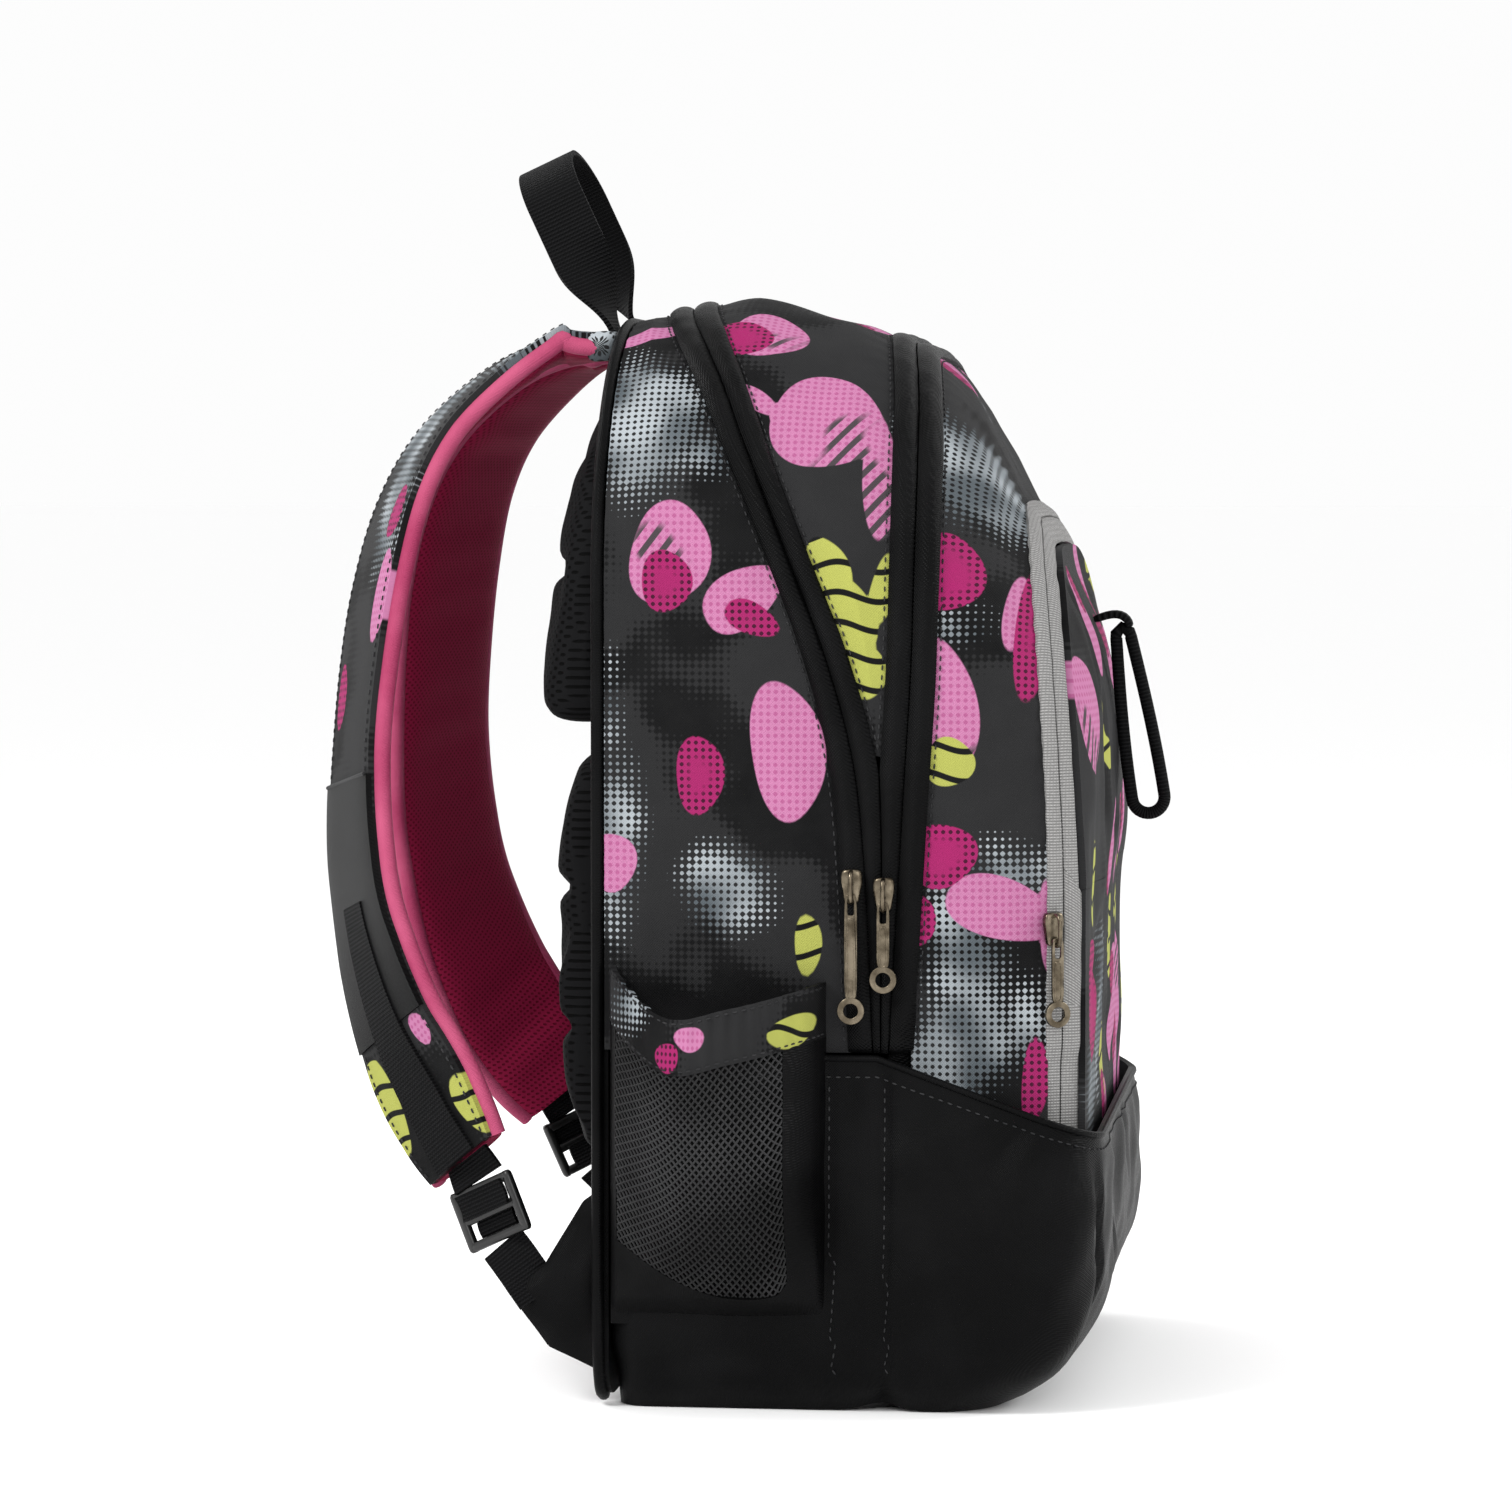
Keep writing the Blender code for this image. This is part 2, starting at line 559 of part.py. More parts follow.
def make_flap():
    hinge = world(0.0, smooth(FRONT_BY_HEIGHT, FLAP_HINGE_Z), FLAP_HINGE_Z)
    last = flap_limit()
    positions = arch_positions(last)
    rings = [0.0, 0.25, 0.5, 0.7, 0.85, 0.95, 1.0]
    outer, inner = [], []
    for at in positions:
        edge = skin(at, flap_edge(abs(at)))
        edge_depth = flap_edge(abs(at)) + WALL
        row, back = [], []
        for s in rings[1:]:
            z = FLAP_HINGE_Z + s * (edge.z - FLAP_HINGE_Z)
            full = max(smooth(FRONT_BY_HEIGHT, z), edge_depth)
            depth = full - (full - edge_depth) * s ** 6
            row.append(world(edge.x * s, depth, z))
            back.append(world(edge.x * s, depth - WALL, z))
        outer.append(row)
        inner.append(back)
    rows, columns = len(outer), len(outer[0])
    verts = [p for row in outer for p in row] + [p for row in inner for p in row]
    faces = shell_faces(rows, columns)
    centre = len(verts)
    verts += [hinge.copy(), hinge + Vector((0.0, WALL, 0.0))]
    inner_start = rows * columns
    low_rim = [(r * columns, (r + 1) * columns) for r in range(rows - 1)]
    faces = [f for f in faces if not is_low_wall(f, columns, inner_start, rows)]
    for a, b in low_rim:
        faces.append((centre, a, b))
        faces.append((centre + 1, inner_start + b, inner_start + a))
    end = (rows - 1) * columns
    faces.append((centre, centre + 1, inner_start, 0))
    faces.append((centre, end, inner_start + end, centre + 1))
    add_object("pocket_flap", verts, faces, PRINT, origin=hinge)
    add_tape(positions, hinge)
    make_loop(hinge)


def is_low_wall(face, columns, inner_start, rows):
    """True for the wall faces along the ring of points nearest the hinge."""
    outer_ids = [i for i in face if i < inner_start]
    inner_ids = [i - inner_start for i in face if i >= inner_start]
    if len(outer_ids) != 2 or len(inner_ids) != 2:
        return False
    return all(i % columns == 0 for i in outer_ids + inner_ids)


def add_tape(positions, origin):
    """The outer half of the pocket zip, which moves with the flap."""
    outer, inner = [], []
    for at in positions:
        depths = (pocket_zip(abs(at)) + GAP / 2, pocket_zip(abs(at)) + POCKET_ZIP_HALF)
        points = [skin(at, d) for d in depths]
        outer.append(points)
        inner.append([p - skin_normal(at, d) * TAPE_THICKNESS for p, d in zip(points, depths)])
    add_shell("pocket_zip_front_tape", outer, inner, SILVER, origin=origin)


def make_loop(flap_hinge):
    """The hanging loop and the folded tab that holds it."""
    hinge = world(0.0, *LOOP_HINGE)
    up = Vector((0.0, 0.29, 0.957))
    out = Vector((0.0, -0.957, 0.29))
    add_block("loop_tab", world(0.0, 0.1976, 0.3237), (Vector((1, 0, 0)), up, out),
              (0.010, 0.004, 0.0105), BLACK, origin=flap_hinge)
    down = Vector((0.0, -math.sin(LOOP_LEAN), -math.cos(LOOP_LEAN)))
    side = Vector((0.0, -math.cos(LOOP_LEAN), math.sin(LOOP_LEAN)))
    route = []
    half_width, length, tip = LOOP_HALF_WIDTH, LOOP_LENGTH, LOOP_TIP
    for i in range(7):
        along = 0.0055 + (length - half_width - 0.0055) * i / 6
        spread = tip + (half_width - tip) * math.sin(math.pi / 2 * i / 6)
        route.append(hinge + down * along + side * spread)
    for i in range(1, 6):
        turn = math.pi * i / 6
        route.append(hinge + down * (length - half_width + half_width * math.sin(turn))
                     + side * half_width * math.cos(turn))
    for i in range(7):
        along = 0.0055 + (length - half_width - 0.0055) * (6 - i) / 6
        spread = tip + (half_width - tip) * math.sin(math.pi / 2 * (6 - i) / 6)
        route.append(hinge + down * along - side * spread)
    route.append(hinge + down * 0.0030)
    add_tube("front_loop", route, LOOP_RADIUS, BLACK, closed=True, origin=hinge)


# Handle and shoulder straps

def make_handle():
    """A webbing handle whose legs turn from the seam's direction to face the sides."""
    hinge = world(0.0, *HANDLE_HINGE)
    up = Vector((0.0, math.sin(HANDLE_LEAN), math.cos(HANDLE_LEAN)))
    back = Vector((0.0, math.cos(HANDLE_LEAN), -math.sin(HANDLE_LEAN)))
    across = Vector((1.0, 0.0, 0.0))
    half, height, round_off = HANDLE_HALF, HANDLE_HEIGHT, HANDLE_ROUND
    legs = [0.002, 0.012, 0.024, 0.036, 0.048]
    frames = []
    for rise in legs:
        turn = math.pi / 2 * blend(0.0, 0.045, rise)
        width = across * math.cos(turn) - back * math.sin(turn)
        frames.append((hinge - across * half + up * rise, width, width.cross(up)))
    for i in range(9):
        turn = math.pi * i / 8
        side = -1 if turn < math.pi / 2 else 1
        if abs(turn - math.pi / 2) < 1e-6:
            place = hinge + up * height
        else:
            place = hinge + across * (side * (half - round_off) - math.cos(turn) * round_off)
            place += up * (height - round_off + math.sin(turn) * round_off)
        normal = -across * math.cos(turn) + up * math.sin(turn)
        frames.append((place, -back, normal))
    for rise in reversed(legs):
        turn = math.pi / 2 * blend(0.0, 0.045, rise)
        width = -across * math.cos(turn) - back * math.sin(turn)
        frames.append((hinge + across * half + up * rise, width, width.cross(-up)))
    add_ribbon("grab_handle", frames, [WEBBING_WIDTH] * len(frames), -0.0011, 0.0011, BLACK,
               origin=hinge)
    add_block("strap_yoke", world(0.0, -0.0112, 0.4385), XYZ, (0.164, 0.0094, 0.0120), PRINT,
              bevel=0.002)


def strap_point(side, x, depth, z):
    return world(side * x, depth, z)


def make_strap(side, name):
    top = strap_point(side, *STRAP_TOP)
    rows = refined(STRAP_PATH, 2)
    frames = ribbon_frames([(strap_point(side, x, d, z), turn) for x, d, z, turn, _ in rows], side)
    widths = [width for *_, width in rows]
    split = -PAD_THICKNESS / 2
    add_ribbon("strap_pad_" + name, frames, widths, split, -split, PRINT, origin=top, columns=4)
    add_ribbon("strap_lining_" + name, frames, [w - 0.003 for w in widths],
               split - GAP - LINING_THICKNESS, split - GAP, PINK, origin=top, columns=4)
    lower = frames[18:]
    add_ribbon("strap_webbing_" + name, lower, [WEBBING_WIDTH] * len(lower),
               -split + 2 * GAP, -split + 2 * GAP + 0.0016, BLACK, origin=top)
    pad_end, tangent = frames[-1][0], (frames[-1][0] - frames[-2][0]).normalized()
    make_lock(side, name, top, pad_end + tangent * 0.0015)
    make_wing(side, name)


def make_lock(side, name, origin, pad_end):
    """The adjuster: a frame with two slots, and the webbing above and below it."""
    upper, lower = strap_point(side, *LOCK_TOP), strap_point(side, *LOCK_BOTTOM)
    (_, across, face), _ = ribbon_frames([(upper, LOCK_TURN), (lower, LOCK_TURN)], side)
    along = (lower - upper).normalized()
    length, width, bar, thickness = (lower - upper).length, LOCK_WIDTH, LOCK_BAR, LOCK_THICKNESS
    clear = (length - 3 * bar) / 2
    columns = [-width / 2, -width / 2 + bar, width / 2 - bar, width / 2]
    rows = [0.0, bar, bar + clear, 2 * bar + clear, 2 * bar + 2 * clear, length]
    holes = {(1, 1), (3, 1)}
    tool = bmesh.new()
    grid = {}
    for layer, height in enumerate((-thickness / 2, thickness / 2)):
        for r, row in enumerate(rows):
            for c, column in enumerate(columns):
                place = across * column + along * row + face * height
                grid[layer, r, c] = tool.verts.new(place)
    for r in range(len(rows) - 1):
        for c in range(len(columns) - 1):
            if (r, c) in holes:
                continue
            for layer in (0, 1):
                tool.faces.new([grid[layer, r, c], grid[layer, r, c + 1],
                                grid[layer, r + 1, c + 1], grid[layer, r + 1, c]])
    for edge in [e for e in tool.edges if len(e.link_faces) == 1]:
        a, b = edge.verts
        match = {vert: key for key, vert in grid.items()}
        if match[a][0] == 1:
            continue
        ka, kb = match[a], match[b]
        tool.faces.new([a, b, grid[1, kb[1], kb[2]], grid[1, ka[1], ka[2]]])
    bmesh.ops.recalc_face_normals(tool, faces=tool.faces)
    mesh = bpy.data.meshes.new("ladder_lock_" + name)
    tool.to_mesh(mesh)
    tool.free()
    mesh.materials.append(material(mesh.name + "_material", BLACK, 0.35))
    made = bpy.data.objects.new(mesh.name, mesh)
    made.location = upper
    bpy.context.scene.collection.objects.link(made)
    last = upper - along * 0.0030
    frames = ribbon_frames([(pad_end, 42), ((pad_end + last) / 2, 48), (last, LOCK_TURN)], side)
    add_ribbon("lock_webbing_" + name, frames, [WEBBING_WIDTH] * 3, -0.0008, 0.0008, BLACK,
               origin=origin)
    tip = strap_point(side, *WING_TIP)
    start = lower + (tip - lower).normalized() * 0.0045
    stop = tip - (tip - lower).normalized() * 0.0008
    frames = ribbon_frames([(start, 62), ((start + stop) / 2, 72), (stop, 82)], side)
    add_ribbon("lower_webbing_" + name, frames, [LOWER_WEBBING_WIDTH] * 3, -0.0008, 0.0008, BLACK,
               origin=origin)


def make_wing(side, name):
    """The triangle of fabric at the lower corner of the back that holds the strap."""
    tip_x, tip_d, tip_z = WING_TIP
    edge_d, edge_z = WING_EDGE
    outline = [(-GAP, 0.014), (-GAP, 0.092), (-0.010, 0.085), (tip_d + edge_d, tip_z + edge_z),
               (tip_d - edge_d, tip_z - edge_z), (-0.025, 0.024)]
    verts = []
    for offset in (-0.0015, 0.0015):
        for d, z in outline:
            x = 0.1400 + (tip_x - 0.1400) * (d / tip_d) + offset
            verts.append(world(side * x, d, z))
    count = len(outline)
    faces = [tuple(range(count)), tuple(range(count, 2 * count))]
    faces += [(i, (i + 1) % count, count + (i + 1) % count, count + i) for i in range(count)]
    add_object("strap_wing_" + name, verts, faces, BLACK, flat=True)


# Zip sliders

def make_slider(name, at, depth, pull_length):
    """A slider on the bag's skin and its hanging pull, on the wearer's left."""
    point, normal = skin(at, depth), skin_normal(at, depth)
    up = (skin(at + 0.02, depth) - skin(at - 0.02, depth)).normalized()
    if up.z < 0:
        up = -up
    across = up.cross(normal).normalized()
    centre = point + normal * (GAP + 0.0024)
    add_block(name + "_slider", centre, (up, across, normal), (0.014, 0.0095, 0.0044), BRASS,
              origin=centre, roughness=0.35, metallic=1.0)
    pivot = centre + normal * 0.0040 - up * 0.0040
    outline = pull_outline(pull_length)
    ring_at, ring_r = pull_length - PULL_RING, PULL_HOLE
    count = 10
    outer_count = len(outline)
    verts, faces = [], []
    for height in (-PULL_HALF_THICKNESS, PULL_HALF_THICKNESS):
        verts += [pivot + across * x - up * y + normal * height for x, y in outline]
    for height in (-PULL_HALF_THICKNESS, PULL_HALF_THICKNESS):
        for i in range(count):
            turn = 2 * math.pi * i / count
            verts.append(pivot + across * ring_r * math.sin(turn)
                         - up * (ring_at - ring_r * math.cos(turn)) + normal * height)
    tool = bmesh.new()
    made = [tool.verts.new(v - pivot) for v in verts]
    hole_start = 2 * outer_count
    for layer in (0, 1):
        loop = made[layer * outer_count:(layer + 1) * outer_count]
        hole = made[hole_start + layer * count:hole_start + (layer + 1) * count]
        edges = [tool.edges.new((a, b)) for a, b in zip(loop, loop[1:] + loop[:1])]
        edges += [tool.edges.new((a, b)) for a, b in zip(hole, hole[1:] + hole[:1])]
        bmesh.ops.triangle_fill(tool, use_beauty=True, edges=edges)
    for i in range(outer_count):
        j = (i + 1) % outer_count
        tool.faces.new([made[i], made[j], made[outer_count + j], made[outer_count + i]])
    for i in range(count):
        j = (i + 1) % count
        tool.faces.new([made[hole_start + i], made[hole_start + count + i],
                        made[hole_start + count + j], made[hole_start + j]])
    bmesh.ops.recalc_face_normals(tool, faces=tool.faces)
    mesh = bpy.data.meshes.new(name + "_pull")
    tool.to_mesh(mesh)
    tool.free()
    mesh.materials.append(material(mesh.name + "_material", BRASS, 0.35, 1.0))
    pull = bpy.data.objects.new(mesh.name, mesh)
    pull.location = pivot
    bpy.context.scene.collection.objects.link(pull)


def pull_outline(length):
    """A slim tab that widens into a round ring end."""
    points = [(-0.0022, 0.0), (0.0022, 0.0), (0.0026, length - 0.016)]
    for i in range(9):
        turn = math.radians(-50 + 280 * i / 8)
        points.append((PULL_RING * math.cos(turn), length - PULL_RING + PULL_RING * math.sin(turn)))
    points.append((-0.0026, length - 0.016))
    return points


def make_sliders():
    make_slider("main_zip", -0.835, main_zip(0.835) - 0.0053, 0.052)
    make_slider("second_zip", -0.84, second_zip(0.84) - 0.0053, 0.036)
    make_slider("pocket_zip", -0.80, pocket_zip(0.80) - 0.0050, 0.036)


def main():
    for old in list(bpy.data.objects):
        bpy.data.objects.remove(old)
    make_back()
    make_pads()
    make_tub()
    make_side_pockets()
    make_sections()
    make_front()
    make_flap()
    make_handle()
    for side, name in ((-1, "left"), (1, "right")):
        make_strap(side, name)
    make_sliders()


main()
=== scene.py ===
"""The looks of the school backpack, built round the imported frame.

Metres, +Z up. A depth d runs forward from the back panel: it is at y = Y_BACK - d.
The front of the bag faces -Y and its straps are on +Y; -X is the wearer's left.
"""

import math

import bmesh
import bpy
import numpy as np
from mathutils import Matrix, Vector


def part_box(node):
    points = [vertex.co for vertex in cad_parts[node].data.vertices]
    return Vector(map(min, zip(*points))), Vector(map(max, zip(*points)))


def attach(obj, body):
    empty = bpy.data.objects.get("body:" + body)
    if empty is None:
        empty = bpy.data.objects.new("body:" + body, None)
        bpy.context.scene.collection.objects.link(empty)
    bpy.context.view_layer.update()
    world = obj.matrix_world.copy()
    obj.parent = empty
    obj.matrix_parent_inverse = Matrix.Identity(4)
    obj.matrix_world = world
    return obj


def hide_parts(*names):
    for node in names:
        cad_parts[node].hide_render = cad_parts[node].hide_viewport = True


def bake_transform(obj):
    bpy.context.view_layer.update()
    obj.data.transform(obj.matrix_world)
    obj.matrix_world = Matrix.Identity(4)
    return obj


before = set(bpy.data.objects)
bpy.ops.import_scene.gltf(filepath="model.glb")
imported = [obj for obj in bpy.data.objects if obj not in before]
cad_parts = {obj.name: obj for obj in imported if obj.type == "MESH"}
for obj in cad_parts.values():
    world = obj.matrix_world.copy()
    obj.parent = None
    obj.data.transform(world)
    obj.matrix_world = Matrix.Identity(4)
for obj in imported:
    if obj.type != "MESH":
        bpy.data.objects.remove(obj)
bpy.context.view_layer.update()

# Where the frame puts the bag
Y_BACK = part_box("back_panel")[1][1]
HINGE_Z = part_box("base_tub")[1][2]
HINGE_D, SEAM_Z = 0.113, HINGE_Z + 0.0025
FLAP_HINGE_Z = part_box("pocket_flap")[0][2]
TUB_FRONT_RIM_Z, TUB_FRONT_D = 0.115, 0.203
NEST_DEPTH = 0.010
WALL, GAP, CLOTH = 0.003, 0.0004, 0.0016
ZIP_HALF, POCKET_ZIP_HALF = 0.010, 0.006
CROWN, SPRING, TUCK, FORK, LOW_END = 0.12, 0.55, 1.15, 0.70, 1.02

# Profiles of the bag, as (position, value) joined by a smooth curve
TOP_BY_DEPTH = [(0.0, 0.450), (0.022, 0.4535), (0.045, 0.4575), (0.085, 0.449), (0.116, 0.440),
                (0.134, 0.427), (0.150, 0.399), (0.165, 0.373), (0.173, 0.363), (0.190, 0.327),
                (0.205, 0.290)]
WIDTH_BY_DEPTH = [(0.0, 0.148), (0.125, 0.148), (0.150, 0.146), (0.175, 0.141), (0.187, 0.135),
                  (0.200, 0.126)]
CORNER_BY_DEPTH = [(0.0, 0.110), (0.125, 0.110), (0.190, 0.080), (0.205, 0.078)]
FRONT_BY_HEIGHT = [(0.09, 0.1975), (0.19, 0.1975), (0.235, 0.2005), (0.264, 0.2005),
                   (0.286, 0.1995), (0.312, 0.1965), (0.327, 0.192), (0.343, 0.185), (0.364, 0.177)]
MAIN_ZIP = [(0.0, 0.022), (0.12, 0.0235), (0.24, 0.031), (0.40, 0.054), (0.51, 0.074),
            (0.60, 0.090), (0.70, 0.102), (0.80, 0.107), (1.0, 0.111)]
SECOND_ZIP = [(0.0, 0.116), (0.12, 0.118), (0.33, 0.126), (0.55, 0.127), (0.75, 0.123),
              (1.0, 0.1175)]
POCKET_ZIP = [(0.0, 0.171), (0.12, 0.172), (0.55, 0.186), (1.0, 0.187), (1.2, 0.187)]

# Shoulder strap down the middle of the pad: x, depth, z, outward turn in degrees, width
STRAP_PATH = [(0.0540, -0.0080, 0.4385, 0, 0.050), (0.0540, -0.0245, 0.4385, 0, 0.053),
              (0.0548, -0.0345, 0.4375, 6, 0.056), (0.058, -0.057, 0.425, 14, 0.062),
              (0.064, -0.081, 0.402, 17, 0.066), (0.070, -0.096, 0.374, 19, 0.068),
              (0.077, -0.105, 0.338, 20, 0.070), (0.084, -0.110, 0.298, 20, 0.070),
              (0.090, -0.112, 0.258, 20, 0.070), (0.096, -0.110, 0.222, 21, 0.070),
              (0.102, -0.103, 0.186, 23, 0.068), (0.110, -0.090, 0.150, 27, 0.064),
              (0.119, -0.072, 0.118, 33, 0.056), (0.124, -0.061, 0.100, 38, 0.044)]
LOCK_TOP, LOCK_BOTTOM, LOCK_TURN = (0.1265, -0.0555, 0.0905), (0.1300, -0.0455, 0.0665), 55
WING_TIP, WING_EDGE = (0.1345, -0.0340, 0.0520), (0.0077, 0.0064)
WEBBING_WIDTH, LOWER_WEBBING_WIDTH = 0.025, 0.020
HANDLE_HINGE, HANDLE_LEAN = (-0.0115, 0.4462), math.radians(25)
LOOP_HINGE = (0.2034, 0.3215)
SIDES = ((-1, "left"), (1, "right"))

# Colours of the cloth, in linear light
CHARCOAL = (0.0145, 0.0145, 0.0152)
INK = (0.0022, 0.0022, 0.0025)
MAGENTA = (0.27, 0.012, 0.095)
PINK = (0.415, 0.150, 0.285)
YELLOW = (0.33, 0.345, 0.075)
PINK_DOTS, MAGENTA_DOTS = (0.27, 0.035, 0.14), (0.045, 0.003, 0.018)
STRIPES, WORN = (0.05, 0.04, 0.045), (0.045, 0.045, 0.045)
HALFTONE_DARK, HALFTONE_LIGHT = (0.070, 0.084, 0.094), (0.33, 0.36, 0.38)
# The strap lining's pink, darkened with painted shade.
SHADED_LINING_PINK = (0.225, 0.009, 0.042)


# ---------------------------------------------------------------- camera and light

def look_from(azimuth, elevation, distance, target):
    a, e = math.radians(azimuth), math.radians(elevation)
    away = Vector((math.sin(a) * math.cos(e), -math.cos(a) * math.cos(e), math.sin(e)))
    return Vector(target) + away * distance, away


def make_camera():
    """A long lens at the wearer's left, turned a little towards the front."""
    target, distance, field = (0.0, Y_BACK - 0.0449, 0.262), 2.35, 0.658
    place, away = look_from(-83.0, 3.0, distance, target)
    data = bpy.data.cameras.new("camera")
    data.sensor_width = 36.0
    data.lens = data.sensor_width * distance / field
    camera = bpy.data.objects.new("camera", data)
    camera.location = place
    camera.rotation_euler = away.to_track_quat("Z", "Y").to_euler()
    bpy.context.scene.collection.objects.link(camera)
    bpy.context.scene.camera = camera


def add_area(name, place, target, size, power):
    data = bpy.data.lights.new(name, "AREA")
    data.shape, data.size, data.energy = "DISK", size, power
    light = bpy.data.objects.new(name, data)
    light.location = place
    light.rotation_euler = (Vector(place) - Vector(target)).to_track_quat("Z", "Y").to_euler()
    bpy.context.scene.collection.objects.link(light)


def make_studio():
    add_area("key", (-1.3, 1.3, 1.7), (0, 0, 0.2), 0.8, 36)
    add_area("fill", (-2.0, -0.9, 0.9), (0, 0, 0.2), 1.4, 13)
    add_area("front_rim", (0.3, -1.9, 1.2), (0, 0, 0.25), 0.8, 18)
    add_area("back_rim", (1.0, 1.6, 1.3), (0, 0, 0.25), 1.0, 12)
    world = bpy.data.worlds.new("studio")
    world.use_nodes = True
    back = world.node_tree.nodes["Background"]
    back.inputs["Color"].default_value = (1.0, 1.0, 1.0, 1.0)
    back.inputs["Strength"].default_value = 0.98
    bpy.context.scene.world = world
    bpy.context.scene.view_settings.view_transform = "Standard"
    mesh = bpy.data.meshes.new("floor")
    mesh.from_pydata([(-60, -60, 0), (60, -60, 0), (60, 60, 0), (-60, 60, 0)], [], [(0, 1, 2, 3)])
    floor = bpy.data.objects.new("floor", mesh)
    floor.location.z = -0.0003
    bpy.context.scene.collection.objects.link(floor)
    made = bpy.data.materials.new("floor")
    made.use_nodes = True
    shader = made.node_tree.nodes["Principled BSDF"]
    shader.inputs["Base Color"].default_value = (0.995, 0.995, 0.995, 1.0)
    shader.inputs["Roughness"].default_value = 0.9
    mesh.materials.append(made)


# ---------------------------------------------------------------- curves and the skin

def curve(points):
    """A function for arrays: the smooth curve through (position, value) points."""
    xs, ys = np.array([p[0] for p in points]), np.array([p[1] for p in points])
    before, after = np.r_[0, np.arange(len(xs) - 1)], np.r_[np.arange(1, len(xs)), len(xs) - 1]
    slopes = (ys[after] - ys[before]) / (xs[after] - xs[before])

    def value(at):
        at = np.clip(np.asarray(at, float), xs[0], xs[-1])
        i = np.clip(np.searchsorted(xs, at, side="right") - 1, 0, len(xs) - 2)
        span = xs[i + 1] - xs[i]
        u = (at - xs[i]) / span
        return (ys[i] * (1 + 2 * u) * (1 - u) ** 2 + ys[i + 1] * u * u * (3 - 2 * u)
                + span * (slopes[i] * u * (1 - u) ** 2 - slopes[i + 1] * u * u * (1 - u)))
    return value


top_at, width_at, corner_at = curve(TOP_BY_DEPTH), curve(WIDTH_BY_DEPTH), curve(CORNER_BY_DEPTH)
front_at = curve(FRONT_BY_HEIGHT)
main_zip, second_zip, pocket_zip = curve(MAIN_ZIP), curve(SECOND_ZIP), curve(POCKET_ZIP)


def step(low, high, at):
    u = np.clip((np.asarray(at, float) - low) / (high - low), 0.0, 1.0)
    return u * u * (3 - 2 * u)


def rim_height(depth):
    slope = (HINGE_Z - TUB_FRONT_RIM_Z) / (TUB_FRONT_D - HINGE_D)
    return HINGE_Z - slope * np.maximum(np.asarray(depth, float) - HINGE_D, 0.0)


def taper(depth, z):
    """The front section narrows where it swings down inside the base."""
    reach = np.hypot(depth - HINGE_D, z - HINGE_Z)
    angle = np.degrees(np.arctan2(z - HINGE_Z, np.maximum(depth - HINGE_D, 1e-6)))
    return 1.0 - 0.026 * (1.0 - step(24, 65, angle)) * step(0.005, 0.014, reach)


def skin(at, depth):
    """Points of the bag's outer skin: at is the signed arch position, for arrays."""
    at, depth = np.broadcast_arrays(np.asarray(at, float), np.asarray(depth, float))
    a = np.abs(at)
    top, corner, half = top_at(depth), corner_at(depth), width_at(depth)
    spring_z = top - corner
    turn = np.clip((a - CROWN) / (SPRING - CROWN), 0, 1) * math.pi / 2
    x = np.where(a <= CROWN, (half - corner) * a / CROWN, half - corner + corner * np.sin(turn))
    z = spring_z + corner * np.cos(turn)
    side = np.clip((a - SPRING) / (1.0 - SPRING), 0, 1)
    z = np.where(a > SPRING, spring_z + (SEAM_Z - spring_z) * side, z)
    low = rim_height(depth) - NEST_DEPTH
    z = np.where(a > 1.0, SEAM_Z + (low - SEAM_Z) * (a - 1.0) / (TUCK - 1.0), z)
    return np.stack([np.sign(at) * x * taper(depth, z), Y_BACK - depth, z], axis=-1)


def arch_length(points):
    """Running length down each column of a grid of points, measured from its crown row."""
    steps = np.linalg.norm(np.diff(points[:, :, [0, 2]], axis=0), axis=2)
    running = np.vstack([np.zeros((1, points.shape[1])), np.cumsum(steps, axis=0)])
    return running - running[points.shape[0] // 2]


def ripple(points, size, seed, count=9):
    """Smooth noise between about -1 and 1 over points, with folds about size metres apart."""
    rng = np.random.default_rng(seed)
    total = np.zeros(points.shape[:-1])
    for _ in range(count):
        direction = rng.normal(size=3)
        direction /= np.linalg.norm(direction)
        wave = 2 * math.pi / (size * rng.uniform(0.7, 1.6))
        total += np.sin(points @ direction * wave + rng.uniform(0, 2 * math.pi))
    return total / math.sqrt(count)


def normals_of(points, centre):
    """Unit normals of a grid of points, pointing away from centre."""
    normal = np.cross(np.gradient(points, axis=0), np.gradient(points, axis=1))
    normal /= np.linalg.norm(normal, axis=2, keepdims=True) + 1e-12
    if (normal * (points - np.array(centre))).sum() < 0:
        normal = -normal
    return normal


# ---------------------------------------------------------------- making meshes

def link(name, mesh):
    made = bpy.data.objects.new(name, mesh)
    bpy.context.scene.collection.objects.link(made)
    return made


def fit(made, body, node=None):
    """Puts a piece on its body, in place of a CAD node if one is named."""
    if node:
        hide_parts(node)
    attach(made, body)


def run_length(points):
    """Running length along a line of points."""
    return np.r_[0, np.cumsum(np.linalg.norm(np.diff(points, axis=0), axis=1))]


def ring_faces(rows, sides, joined=False):
    """Faces round a stack of rings, capped at both ends unless the last joins the first."""
    faces = []
    for r in range(rows if joined else rows - 1):
        n = (r + 1) % rows
        faces += [(r * sides + i, r * sides + (i + 1) % sides, n * sides + (i + 1) % sides,
                   n * sides + i) for i in range(sides)]
    if not joined:
        faces += [tuple(reversed(range(sides))), tuple(range((rows - 1) * sides, rows * sides))]
    return faces


